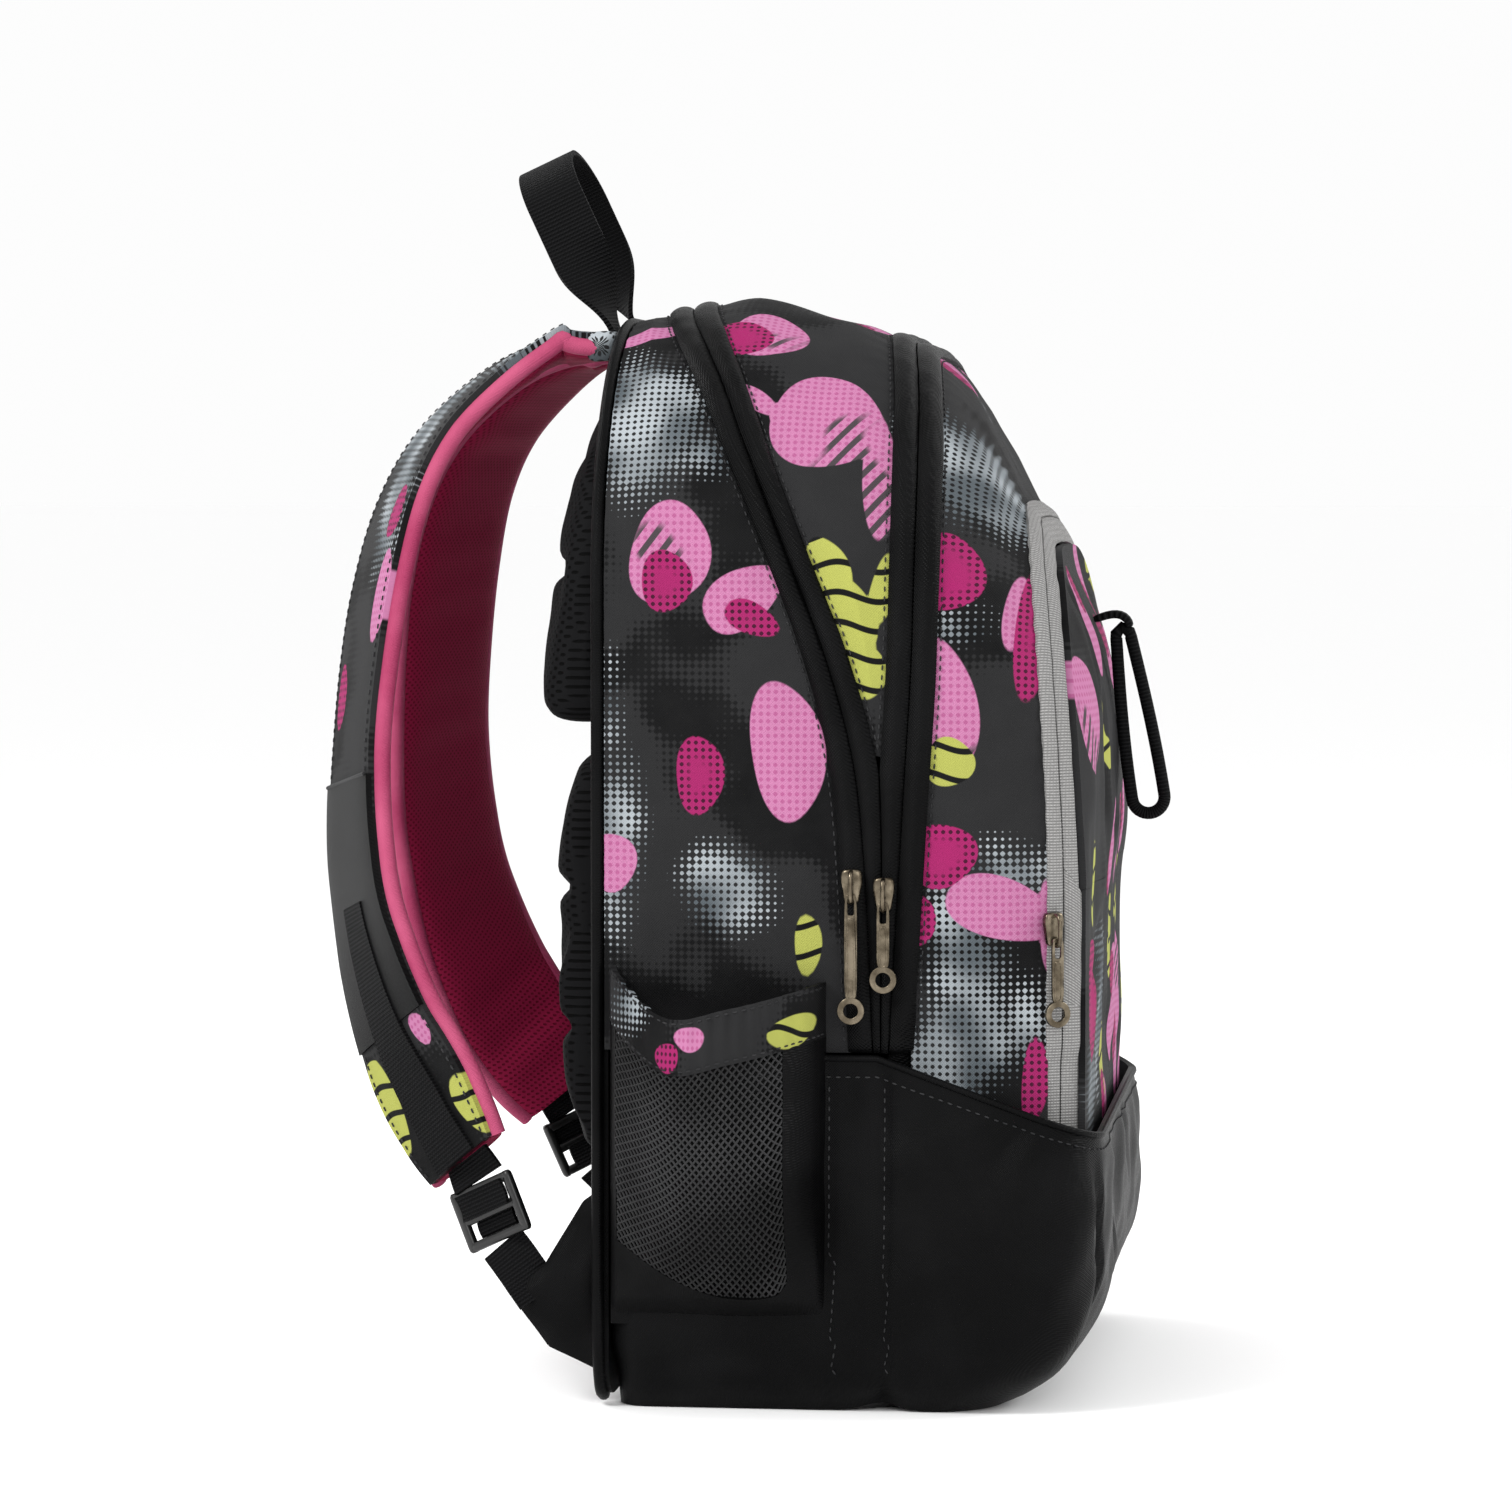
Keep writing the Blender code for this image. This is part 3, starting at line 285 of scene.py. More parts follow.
def finish_mesh(name, verts, faces, materials, face_slots=None):
    mesh = bpy.data.meshes.new(name)
    mesh.from_pydata([tuple(v) for v in verts], [], faces)
    for made in materials:
        mesh.materials.append(made)
    if face_slots is not None:
        mesh.polygons.foreach_set("material_index", face_slots)
    tool = bmesh.new()
    tool.from_mesh(mesh)
    bmesh.ops.recalc_face_normals(tool, faces=tool.faces)
    tool.to_mesh(mesh)
    tool.free()
    mesh.shade_smooth()
    mesh.set_sharp_from_angle(angle=math.radians(50))
    return link(name, mesh)


def shell(name, outer, inner, materials, closed=False):
    """A closed sheet between two grids: materials are the outside and, if given, the inside."""
    rows, columns = outer.shape[:2]
    verts = np.concatenate([outer.reshape(-1, 3), inner.reshape(-1, 3)])
    index = np.arange(rows * columns).reshape(rows, columns)
    if closed:
        index = np.hstack([index, index[:, :1]])
    quads = np.stack([index[:-1, :-1], index[:-1, 1:], index[1:, 1:], index[1:, :-1]], -1)
    quads = quads.reshape(-1, 4)
    inside = quads[:, ::-1] + rows * columns
    if closed:
        loops = [index[0], index[-1][::-1]]
    else:
        loops = [np.concatenate([index[0], index[1:, -1], index[-1, :-1][::-1],
                                 index[1:-1, 0][::-1], index[:1, 0]])]
    rims = []
    for loop in loops:
        a, b = loop[:-1], loop[1:]
        rims.append(np.stack([a, a + rows * columns, b + rows * columns, b], -1))
    faces = np.concatenate([quads, inside] + rims)
    slots = np.zeros(len(faces), int)
    if len(materials) > 1:
        slots[len(quads):2 * len(quads)] = 1
    return finish_mesh(name, verts, faces.tolist(), materials, slots.tolist())


def set_fabric(made, u, v, copies=2):
    """A UV map of cloth coordinates in metres, from one pair for each grid point."""
    flat = np.stack([np.asarray(u, float).ravel(), np.asarray(v, float).ravel()], -1)
    flat = np.concatenate([flat] * copies)
    mesh = made.data
    layer = mesh.uv_layers.new(name="fabric")
    corner = np.empty(len(mesh.loops), np.int32)
    mesh.loops.foreach_get("vertex_index", corner)
    layer.data.foreach_set("uv", flat[corner].astype(np.float32).ravel())
    return flat


def set_print(made, flat, motifs):
    """Signed distances to the print's motifs, one attribute for each colour."""
    for kind in ("magenta", "pink", "yellow", "grey"):
        distance = np.full(len(flat), 0.05)
        for colour, u, v, ru, rv, turn in motifs:
            if colour != kind:
                continue
            c, s = math.cos(math.radians(turn)), math.sin(math.radians(turn))
            du, dv = flat[:, 0] - u, flat[:, 1] - v
            a, b = (du * c + dv * s) / ru, (dv * c - du * s) / rv
            wobble = 1.0 + 0.06 * np.sin(3 * np.arctan2(b, a) + 9 * u + 7 * v)
            distance = np.minimum(distance, (np.hypot(a, b) - wobble) * min(ru, rv))
        layer = made.data.attributes.new("print_" + kind, "FLOAT", "POINT")
        layer.data.foreach_set("value", distance.astype(np.float32))


def tube(name, points, radius, material, sides=10, closed=False):
    """A round tube of mesh along points."""
    points = np.asarray(points, float)
    ahead = np.roll(points, -1, axis=0) if closed else np.vstack([points[1:], points[-1:]])
    behind = np.roll(points, 1, axis=0) if closed else np.vstack([points[:1], points[:-1]])
    tangent = ahead - behind
    tangent /= np.linalg.norm(tangent, axis=1, keepdims=True)
    across = np.cross(tangent[0], (0.3, 0.5, 0.8))
    rings = []
    for point, direction in zip(points, tangent):
        across = across - direction * (across @ direction)
        across /= np.linalg.norm(across)
        other = np.cross(direction, across)
        turns = np.arange(sides) * 2 * math.pi / sides
        rings.append([point + radius * (math.cos(t) * across + math.sin(t) * other)
                      for t in turns])
    verts = [v for ring in rings for v in ring]
    return finish_mesh(name, verts, ring_faces(len(rings), sides, closed), [material])


def rounded_ring(count, square, upright=None):
    """Points of a rounded square between -1 and 1: square is 1 for round and near 0 for square."""
    ring = []
    for i in range(count):
        c, s = math.cos(2 * math.pi * i / count), math.sin(2 * math.pi * i / count)
        ring.append((math.copysign(abs(c) ** square, c), math.copysign(abs(s) ** (upright or square), s)))
    return ring


def small_boxes(name, places, sizes, material):
    """Many small rounded lozenges in one mesh: places are (centre, along, across, up)."""
    verts, faces = [], []
    length, width, height = sizes
    for centre, along, across, up in places:
        start = len(verts)
        for a, w in ((-0.5, 0.25), (-0.5, -0.25), (-0.25, -0.5), (0.25, -0.5), (0.5, -0.25),
                     (0.5, 0.25), (0.25, 0.5), (-0.25, 0.5)):
            verts.append(centre + along * (a * length) + across * (w * width) - up * height / 2)
        for a, w in ((-0.4, 0.15), (-0.4, -0.15), (-0.2, -0.35), (0.2, -0.35), (0.4, -0.15),
                     (0.4, 0.15), (0.2, 0.35), (-0.2, 0.35)):
            verts.append(centre + along * (a * length) + across * (w * width) + up * height / 2)
        faces.append(tuple(start + i for i in reversed(range(8))))
        faces.append(tuple(start + 8 + i for i in range(8)))
        faces += [(start + i, start + (i + 1) % 8, start + 8 + (i + 1) % 8, start + 8 + i)
                  for i in range(8)]
    return finish_mesh(name, verts, faces, [material])


# ---------------------------------------------------------------- materials

class Graph:
    """A short way to write a material's nodes."""

    def __init__(self, name, roughness=0.8, metallic=0.0, gloss=0.5):
        self.material = bpy.data.materials.new(name)
        self.material.use_nodes = True
        self.tree = self.material.node_tree
        self.shader = self.tree.nodes["Principled BSDF"]
        self.shader.inputs["Roughness"].default_value = roughness
        self.shader.inputs["Metallic"].default_value = metallic
        self.shader.inputs["Specular IOR Level"].default_value = gloss

    def node(self, kind, **settings):
        made = self.tree.nodes.new(kind)
        for key, value in settings.items():
            setattr(made, key, value)
        return made

    def put(self, socket, value):
        if isinstance(value, bpy.types.NodeSocket):
            self.tree.links.new(value, socket)
        elif isinstance(value, tuple) and len(value) == 3 and socket.type == "RGBA":
            socket.default_value = (*value, 1.0)
        else:
            socket.default_value = value

    def math(self, operation, a, b=0.0, c=0.0):
        made = self.node("ShaderNodeMath", operation=operation)
        for socket, value in zip(made.inputs, (a, b, c)):
            self.put(socket, value)
        return made.outputs[0]

    def ramp(self, value, low, high, start=0.0, end=1.0):
        made = self.node("ShaderNodeMapRange", interpolation_type="SMOOTHSTEP")
        for key, item in (("Value", value), ("From Min", low), ("From Max", high),
                          ("To Min", start), ("To Max", end)):
            self.put(made.inputs[key], item)
        return made.outputs["Result"]

    def mix(self, share, a, b):
        made = self.node("ShaderNodeMix", data_type="RGBA")
        self.put(made.inputs[0], share)
        self.put(made.inputs[6], a)
        self.put(made.inputs[7], b)
        return made.outputs[2]

    def noise(self, vector, scale, detail=2.0):
        made = self.node("ShaderNodeTexNoise")
        self.put(made.inputs["Vector"], vector)
        made.inputs["Scale"].default_value = scale
        made.inputs["Detail"].default_value = detail
        return made.outputs["Fac"]

    def attribute(self, name):
        return self.node("ShaderNodeAttribute", attribute_name=name).outputs["Fac"]

    def cloth(self):
        return self.node("ShaderNodeUVMap", uv_map="fabric").outputs["UV"]

    def place(self):
        return self.node("ShaderNodeTexCoord").outputs["Object"]

    def turned(self, vector, degrees, period):
        """The two cosines of a grid of that period, turned by that angle."""
        made = self.node("ShaderNodeMapping")
        self.put(made.inputs["Vector"], vector)
        made.inputs["Rotation"].default_value = (0, 0, math.radians(degrees))
        made.inputs["Scale"].default_value = (2 * math.pi / period,) * 3
        split = self.split(made.outputs[0])
        return self.math("COSINE", split[0]), self.math("COSINE", split[1])

    def split(self, vector):
        made = self.node("ShaderNodeSeparateXYZ")
        self.put(made.inputs[0], vector)
        return made.outputs

    def bump(self, height, strength, distance):
        made = self.node("ShaderNodeBump")
        made.inputs["Strength"].default_value = strength
        made.inputs["Distance"].default_value = distance
        self.put(made.inputs["Height"], height)
        self.put(self.shader.inputs["Normal"], made.outputs["Normal"])

    def colour(self, value):
        self.put(self.shader.inputs["Base Color"], value)
        return self.material


def printed_cloth():
    """Charcoal polyester with dotted, striped and cut ovals in five inks."""
    g = Graph("printed_cloth", roughness=0.62, gloss=0.06)
    cloth = g.cloth()
    dots = g.math("MULTIPLY", *g.turned(cloth, 45, 0.0042))
    stripes = g.turned(cloth, 38, 0.0062)[0]
    patches = g.noise(cloth, 14.0, 2.0)
    shade = g.ramp(g.math("ADD", patches, g.math("MULTIPLY", dots, 0.035)), 0.44, 0.48)
    ground = g.mix(shade, INK, CHARCOAL)
    speckle = g.noise(cloth, 30.0, 1.0)
    # Grey halftone: dots that grow towards the middle of each patch.
    grey = g.math("MULTIPLY", g.attribute("print_grey"), -90.0)
    grey = g.math("ADD", grey, g.math("MULTIPLY", g.math("SUBTRACT", speckle, 0.5), 1.6))
    grey = g.math("ADD", g.math("MINIMUM", grey, 0.75), g.math("MULTIPLY", dots, 0.9))
    halftone = g.mix(g.ramp(speckle, 0.35, 0.7), HALFTONE_DARK, HALFTONE_LIGHT)
    colour = g.mix(g.ramp(grey, 0.28, 0.62), ground, halftone)
    # Pink ovals with rows of darker dots, some of them striped.
    pink_in = g.ramp(g.attribute("print_pink"), 0.0003, -0.0003)
    rows = g.ramp(dots, 0.05, 0.55)
    pink = g.mix(g.math("MULTIPLY", rows, 0.55), PINK, PINK_DOTS)
    striping = g.math("MULTIPLY", g.ramp(stripes, 0.15, 0.45), g.ramp(patches, 0.56, 0.60))
    pink = g.mix(striping, pink, STRIPES)
    colour = g.mix(pink_in, colour, pink)
    # Yellow leaves with dark cuts across them.
    along, up, _ = g.split(cloth)
    wave = g.math("MULTIPLY", g.math("SINE", g.math("MULTIPLY", along, 180.0)), 1.1)
    cuts = g.ramp(g.math("SINE", g.math("ADD", g.math("MULTIPLY", up, 520.0), wave)), 0.72, 0.86)
    yellow = g.mix(cuts, YELLOW, INK)
    colour = g.mix(g.ramp(g.attribute("print_yellow"), 0.0003, -0.0003), colour, yellow)
    # Magenta ovals, dotted near their rims.
    rim = g.math("MULTIPLY", g.ramp(g.attribute("print_magenta"), -0.0075, -0.0035),
                 g.ramp(dots, 0.25, 0.45))
    magenta = g.mix(rim, MAGENTA, MAGENTA_DOTS)
    colour = g.mix(g.ramp(g.attribute("print_magenta"), 0.0003, -0.0003), colour, magenta)
    worn = g.mix(g.math("MULTIPLY", g.noise(g.place(), 90.0, 3.0), 0.14), colour, WORN)
    threads = g.math("MULTIPLY", *g.turned(cloth, 0, 0.0011))
    uneven = g.math("MULTIPLY", g.noise(g.place(), 350.0, 2.0), 1.2)
    g.bump(g.math("ADD", threads, uneven), 0.25, 0.0004)
    return g.colour(worn)


def plain_cloth(name, dark, light, roughness=0.6, gloss=0.05, period=0.0011, strength=0.3):
    """A one-colour woven cloth, uneven in tone and with fine threads."""
    g = Graph(name, roughness=roughness, gloss=gloss)
    place = g.place()
    tone = g.ramp(g.noise(place, 22.0, 4.0), 0.35, 0.70)
    fine = g.noise(place, 700.0, 2.0)
    colour = g.mix(tone, dark, light)
    colour = g.mix(g.math("MULTIPLY", fine, 0.35), colour, light)
    x, y, z = g.split(place)
    threads = 2 * math.pi / period
    up = g.math("SINE", g.math("MULTIPLY", z, threads))
    over = g.math("SINE", g.math("MULTIPLY", g.math("ADD", x, y), threads))
    g.bump(g.math("ADD", g.math("MULTIPLY", up, over), g.math("MULTIPLY", fine, 1.5)), strength, 0.0004)
    return g.colour(colour)


def ribbed_cloth(name, dark, light, period=0.0016, strength=0.5):
    """Webbing: ribs across the strip, in cloth coordinates, with a few worn threads. The colour follows
    the height: painted shade in the grooves, painted highlight on the ribs.
    """
    g = Graph(name, roughness=0.7, gloss=0.07)
    a, b = g.turned(g.cloth(), 0, period)
    ribs = g.math("ADD", g.math("MULTIPLY", b, 0.8), g.math("MULTIPLY", g.math("MULTIPLY", a, b), 0.6))
    fine = g.noise(g.place(), 800.0, 2.0)
    height = g.math("ADD", ribs, fine)
    g.bump(height, strength, 0.0005)
    # Painted shade and highlight: darker in the grooves, lighter on the ribs.
    return g.colour(g.mix(g.ramp(height, 0.2, 1.4), dark, light))


def air_mesh(name, dark, light, period):
    """Spacer mesh: rows of small holes, darkened with painted shade inside them."""
    g = Graph(name, roughness=0.75, gloss=0.05)
    x, _, z = g.split(g.place())
    wave = 2 * math.pi / period
    up = g.math("COSINE", g.math("MULTIPLY", z, wave))
    over = g.math("COSINE", g.math("MULTIPLY", x, wave))
    holes = g.math("MULTIPLY", up, over)
    uneven = g.math("MULTIPLY", g.noise(g.place(), 500.0, 2.0), 0.4)
    g.bump(g.math("MULTIPLY", g.ramp(holes, 0.3, 0.8), -1.0), 0.5, 0.0006)
    # Painted shade: the colour darkens into each hole.
    return g.colour(g.mix(g.ramp(g.math("ADD", holes, uneven), 0.35, 0.8), light, dark))


def old_metal():
    """Antique plating: brown in the hollows and brighter where hands rub it."""
    g = Graph("antique_metal", roughness=0.34, metallic=1.0)
    place = g.place()
    patina = g.ramp(g.noise(place, 170.0, 3.0), 0.25, 0.75)
    colour = g.mix(patina, (0.070, 0.056, 0.038), (0.215, 0.180, 0.130))
    rough = g.ramp(g.noise(place, 500.0, 2.0), 0.3, 0.7, 0.22, 0.42)
    g.put(g.shader.inputs["Roughness"], rough)
    g.bump(g.noise(place, 900.0, 2.0), 0.15, 0.0002)
    return g.colour(colour)


def moulded(name, dark, light, roughness):
    """Moulded plastic with a fine satin grain and paler worn spots."""
    g = Graph(name, roughness=roughness)
    place = g.place()
    colour = g.mix(g.ramp(g.noise(place, 120.0, 3.0), 0.45, 0.75), dark, light)
    g.bump(g.noise(place, 1400.0, 2.0), 0.2, 0.0002)
    return g.colour(colour)


PRINTED = printed_cloth()
BLACK = plain_cloth("black_cloth", (0.0006, 0.0006, 0.0007), (0.0030, 0.0030, 0.0032), 0.40, 0.055)
TAPE = plain_cloth("zip_tape", (0.0010, 0.0010, 0.0011), (0.0034, 0.0034, 0.0036), 0.40, 0.06,
                   0.0014, 0.5)
SILVER = ribbed_cloth("silver_tape", (0.15, 0.148, 0.145), (0.33, 0.325, 0.32), 0.0012, 0.35)
WEBBING = ribbed_cloth("webbing", (0.0015, 0.0015, 0.0017), (0.0065, 0.0065, 0.007))
LINING = plain_cloth("inner_lining", (0.016, 0.016, 0.018), (0.032, 0.032, 0.035), 0.6)
# The strap lining: its pink darkened with painted shade.
ROSE = air_mesh("rose_mesh", (0.105, 0.004, 0.018), SHADED_LINING_PINK, 0.0026)
# A lighter copy of the strap lining's pink: painted highlight for the edges that face the lamps.
LIT_ROSE_EDGE = plain_cloth("rose_edge_painted_highlight", (0.26, 0.024, 0.075), (0.40, 0.070, 0.145), 0.6, 0.10)
PAD_MESH = air_mesh("pad_mesh", (0.001, 0.001, 0.001), (0.006, 0.006, 0.0065), 0.0038)
NET = plain_cloth("net_thread", (0.012, 0.012, 0.012), (0.035, 0.035, 0.036), 0.6)
THREAD = plain_cloth("thread", (0.018, 0.018, 0.019), (0.035, 0.035, 0.036), 0.5)
METAL = old_metal()
PLASTIC = moulded("black_acetal", (0.003, 0.003, 0.003), (0.008, 0.008, 0.008), 0.32)
BOARD = moulded("grey_board", (0.20, 0.20, 0.20), (0.32, 0.32, 0.32), 0.5)


# ---------------------------------------------------------------- the print

def height_to_cloth(z):
    """Distance up the cloth from the seam for a height on the side or the round shoulder."""
    shoulder, radius = 0.347, 0.110
    if z <= shoulder:
        return z - SEAM_Z
    return shoulder - SEAM_Z + radius * math.asin(min((z - shoulder) / radius, 1.0))


CLEAR_OF_EACH_OTHER = 0.029


def near_side_motifs():
    """The print on the wearer's left: colour, depth, height, two half-sizes and a turn."""
    seen = [
        ("magenta", 0.050, 0.441, 0.013, 0.013, 10), ("pink", 0.061, 0.443, 0.016, 0.017, 10),
        ("pink", 0.089, 0.408, 0.023, 0.024, 0), ("pink", 0.059, 0.416, 0.012, 0.005, -35),
        ("pink", 0.1125, 0.385, 0.0075, 0.029, 4),
        ("yellow", 0.093, 0.346, 0.008, 0.014, 25), ("yellow", 0.101, 0.327, 0.010, 0.019, 22),
        ("yellow", 0.1145, 0.337, 0.005, 0.015, -12), ("yellow", 0.108, 0.305, 0.008, 0.012, 10),
        ("pink", 0.0276, 0.352, 0.0165, 0.021, -15), ("magenta", 0.0262, 0.341, 0.0105, 0.0125, 0),
        ("pink", 0.057, 0.334, 0.018, 0.0115, 35), ("magenta", 0.061, 0.326, 0.012, 0.0065, -25),
        ("pink", 0.0758, 0.272, 0.0150, 0.0285, 8),
        ("grey", 0.014, 0.408, 0.026, 0.036, 10), ("grey", 0.040, 0.394, 0.014, 0.010, -20),
        ("pink", 0.013, 0.4465, 0.026, 0.006, 25),
        ("grey", 0.153, 0.396, 0.026, 0.034, 0), ("grey", 0.1335, 0.412, 0.012, 0.016, 0),
        ("magenta", 0.1405, 0.3455, 0.0140, 0.0165, 0),
        ("pink", 0.1405, 0.290, 0.0125, 0.028, 8), ("yellow", 0.142, 0.268, 0.010, 0.010, 0),
        ("magenta", 0.174, 0.321, 0.0070, 0.030, -2), ("pink", 0.168, 0.330, 0.006, 0.018, -6),
        ("grey", 0.142, 0.322, 0.010, 0.006, 0),
        ("magenta", 0.139, 0.230, 0.0140, 0.0130, 20), ("magenta", 0.131, 0.2035, 0.0055, 0.010, 0),
        ("pink", 0.163, 0.208, 0.0240, 0.0125, -18), ("pink", 0.1835, 0.199, 0.0055, 0.020, 4),
        ("grey", 0.148, 0.190, 0.016, 0.030, 10), ("grey", 0.146, 0.150, 0.022, 0.032, -30),
        ("grey", 0.166, 0.222, 0.020, 0.010, 0), ("grey", 0.172, 0.158, 0.010, 0.016, 0),
        ("magenta", 0.1765, 0.137, 0.0055, 0.0175, -4),
        ("yellow", 0.0845, 0.193, 0.0055, 0.0125, 0), ("pink", 0.004, 0.226, 0.010, 0.012, 0),
        ("grey", 0.004, 0.236, 0.012, 0.034, 0), ("grey", 0.002, 0.286, 0.004, 0.014, 0),
        ("grey", 0.050, 0.215, 0.018, 0.018, 0), ("magenta", 0.040, 0.262, 0.010, 0.016, 0),
    ]
    return [(k, d, height_to_cloth(z), a, b, turn) for k, d, z, a, b, turn in seen]


def scattered_motifs(seed, u_range, v_range, count):
    """A generic print of the same ovals for the parts that aren't seen from the near side."""
    rng = np.random.default_rng(seed)
    sizes = {"grey": (0.020, 0.030), "pink": (0.014, 0.024), "magenta": (0.011, 0.015),
             "yellow": (0.007, 0.015)}
    made, places = [], []
    for _ in range(count * 40):
        if len(made) >= count:
            break
        u, v = rng.uniform(*u_range), rng.uniform(*v_range)
        if any(math.hypot(u - x, v - y) < CLEAR_OF_EACH_OTHER for x, y in places):
            continue
        places.append((u, v))
        kind = ("grey", "pink", "magenta", "yellow", "grey", "pink")[len(made) % 6]
        ru, rv = sizes[kind]
        scale, turn = rng.uniform(0.7, 1.2), rng.uniform(-40, 40)
        made.append((kind, u, v, ru * scale, rv * scale, turn))
        away = rng.uniform(0, 2 * math.pi)
        if kind == "pink":
            made.append(("magenta", u + 0.8 * ru * math.cos(away), v + 0.8 * rv * math.sin(away),
                         ru * rng.uniform(0.45, 0.8), rv * rng.uniform(0.35, 0.6), turn + 30))
        elif kind == "yellow":
            made.append(("yellow", u + 0.011, v - 0.010, 0.006 * scale, 0.016 * scale, turn + 50))
    return made


def strap_motifs(seed):
    """Grey halftone over the shoulder, a little pink, and yellow at the lower end."""
    kept = [m for m in scattered_motifs(seed, (-0.035, 0.035), (0.0, 0.20), 14) if m[0] == "grey"]
    kept += [("grey", 0.022, 0.030, 0.024, 0.030, 0), ("grey", -0.010, 0.085, 0.030, 0.026, 30),
             ("magenta", 0.020, 0.128, 0.009, 0.012, 10), ("pink", 0.026, 0.165, 0.010, 0.020, 0),
             ("magenta", -0.020, 0.205, 0.008, 0.014, 0), ("pink", 0.022, 0.356, 0.006, 0.008, 0),
             ("yellow", -0.024, 0.372, 0.009, 0.022, 0), ("yellow", 0.024, 0.395, 0.008, 0.014, 0)]
    return kept


# The near side's cloth runs up from 0 at its seam; the far side's starts at 2 m along.
FAR = 2.0
SIDE_MOTIFS = near_side_motifs() + scattered_motifs(5, (FAR, FAR + 0.2), (-0.04, 0.46), 52)
SIDE_MOTIFS += scattered_motifs(9, (0.0, 0.18), (0.335, 0.42), 9)
FRONT_MOTIFS = [("pink", -0.105, 0.286, 0.018, 0.024, 0),
                ("magenta", -0.100, 0.168, 0.016, 0.026, 10),
                ("grey", -0.100, 0.132, 0.024, 0.020, 0), ("yellow", -0.096, 0.216, 0.010, 0.018, 0)]
FRONT_MOTIFS += scattered_motifs(3, (-0.07, 0.13), (0.10, 0.36), 38)


# ---------------------------------------------------------------- cloth panels of the body

def arch_samples(last):
    """Signed arch positions about 3 mm apart on the bag, from -last to last."""
    half = list(np.linspace(0, CROWN, 14)) + list(np.linspace(CROWN, SPRING, 62))[1:]
    half += list(np.linspace(SPRING, 1.0, 66))[1:]
    if last > 1.0:
        half += list(np.linspace(1.0, last, 16))[1:]
    half = np.array([a for a in half if a < last - 0.002] + [last])
    return np.concatenate([-half[::-1][:-1], half])


def cloth_coordinates(at, depth, points):
    """Depth and distance up from the lower seam; the far side is FAR along."""
    length = np.abs(arch_length(points))
    up = length[-1] - length + points[-1, :, 2] - SEAM_Z
    u = np.where(at > 0.05, depth + FAR, depth)
    return u, up


def panel(name, start, end, columns, last, body, node, seed):
    """One printed gusset: it fills out between its seams and puckers along them."""
    puff, tape = 0.0014, 0.0006
    at = arch_samples(last)
    a = np.abs(at)
    first, final = start(a), end(a)
    share = np.linspace(0, 1, columns)
    depth = first[:, None] + (final - first)[:, None] * share
    grid_at = np.repeat(at[:, None], columns, axis=1)
    base = skin(grid_at, depth)
    normal = normals_of(base, (0, 0, 0.25))
    edge = np.minimum(share, 1 - share)[None, :] * (final - first)[:, None]
    inside = step(0.0, 0.020, edge)
    u, up = cloth_coordinates(grid_at, depth, base)
    pucker = np.exp(-edge / 0.006) * np.sin(up * 2 * math.pi / 0.0105 + 1.5 * ripple(base, 0.05, seed))
    sag = 0.9 * ripple(base, 0.085, seed + 1) + 0.45 * ripple(base, 0.034, seed + 2)
    crease = -np.maximum(ripple(base, 0.045, seed + 3) - 1.1, 0.0)
    lift = puff * inside + inside * (0.0013 * sag + 0.0021 * crease) + 0.00034 * pucker
    low = step(TUCK, 0.93, np.abs(grid_at)) if last > 1.0 else 1.0
    lift = (lift - tape * (1 - inside)) * low
    outer = base + normal * lift[..., None]
    made = shell(name, outer, outer - normal * CLOTH, [PRINTED, LINING])
    set_print(made, set_fabric(made, u, up), SIDE_MOTIFS)
    fit(made, body, node)


def zip_tape(name, edge, centre, material, body, node, last=LOW_END, height=0.0024,
             floor=0.0004, tuck=0.0012, span=None):
    """Half a zip: a rolled tape that is high in the middle and low at both of its edges."""
    at = arch_samples(last) if span is None else np.linspace(*span, 50)
    a = np.abs(at)
    near, far = edge(a), centre(a)
    share = np.linspace(0, 1, 9)
    depth = near[:, None] + (far - near)[:, None] * share
    grid_at = np.repeat(at[:, None], len(share), axis=1)
    base = skin(grid_at, depth)
    normal = normals_of(base, (0, 0, 0.25))
    roll = np.sin(math.pi * np.clip(share * 0.94 + 0.03, 0, 1)) ** 0.6
    width = np.abs(far - near)[:, None] / ZIP_HALF
    lift = floor + height * roll[None, :] * np.clip(width, 0.35, 1.0)
    lift = lift + 0.00018 * ripple(base, 0.018, 31)
    low = step(TUCK if last > LOW_END else 1.05, 0.95, a)[:, None]
    sink = tuck * step(0.99, 1.03, a)[:, None]
    outer = base + normal * (lift * low - sink)[..., None]
    made = shell(name, outer, base - normal * (0.0014 + sink)[..., None], [material])
    set_fabric(made, *cloth_coordinates(grid_at, depth, base))
    fit(made, body, node)


def zip_teeth(name, centre, side, material, body, last=1.0):
    """The coil of half a zip, under the lip of its tape."""
    pitch, off_centre, end = 0.0022, side * 0.0007, 0.004
    dense = np.linspace(-last, last, 4000)
    run = run_length(skin(dense, centre(np.abs(dense)) + off_centre))
    offset = pitch / 2 if side > 0 else 0.0
    at = np.interp(np.arange(end + offset, run[-1] - end, pitch), run, dense)
    middle = skin(at, centre(np.abs(at)) + off_centre)
    along = skin(at + 0.003, centre(np.abs(at + 0.003))) - skin(at - 0.003, centre(np.abs(at - 0.003)))
    along /= np.linalg.norm(along, axis=1, keepdims=True)
    forward = skin(at, centre(np.abs(at)) + 0.002) - skin(at, centre(np.abs(at)) - 0.002)
    forward /= np.linalg.norm(forward, axis=1, keepdims=True)
    up = np.cross(along, forward)
    places = []
    for p, a, f, n in zip(middle, along, forward, up):
        n = n if n @ (p - np.array((0, 0, 0.25))) > 0 else -n
        places.append((Vector(p) - Vector(n) * 0.0009, Vector(f), Vector(a), Vector(n)))
    fit(small_boxes(name, places, (0.0030, 0.0013, 0.0012), material), body)


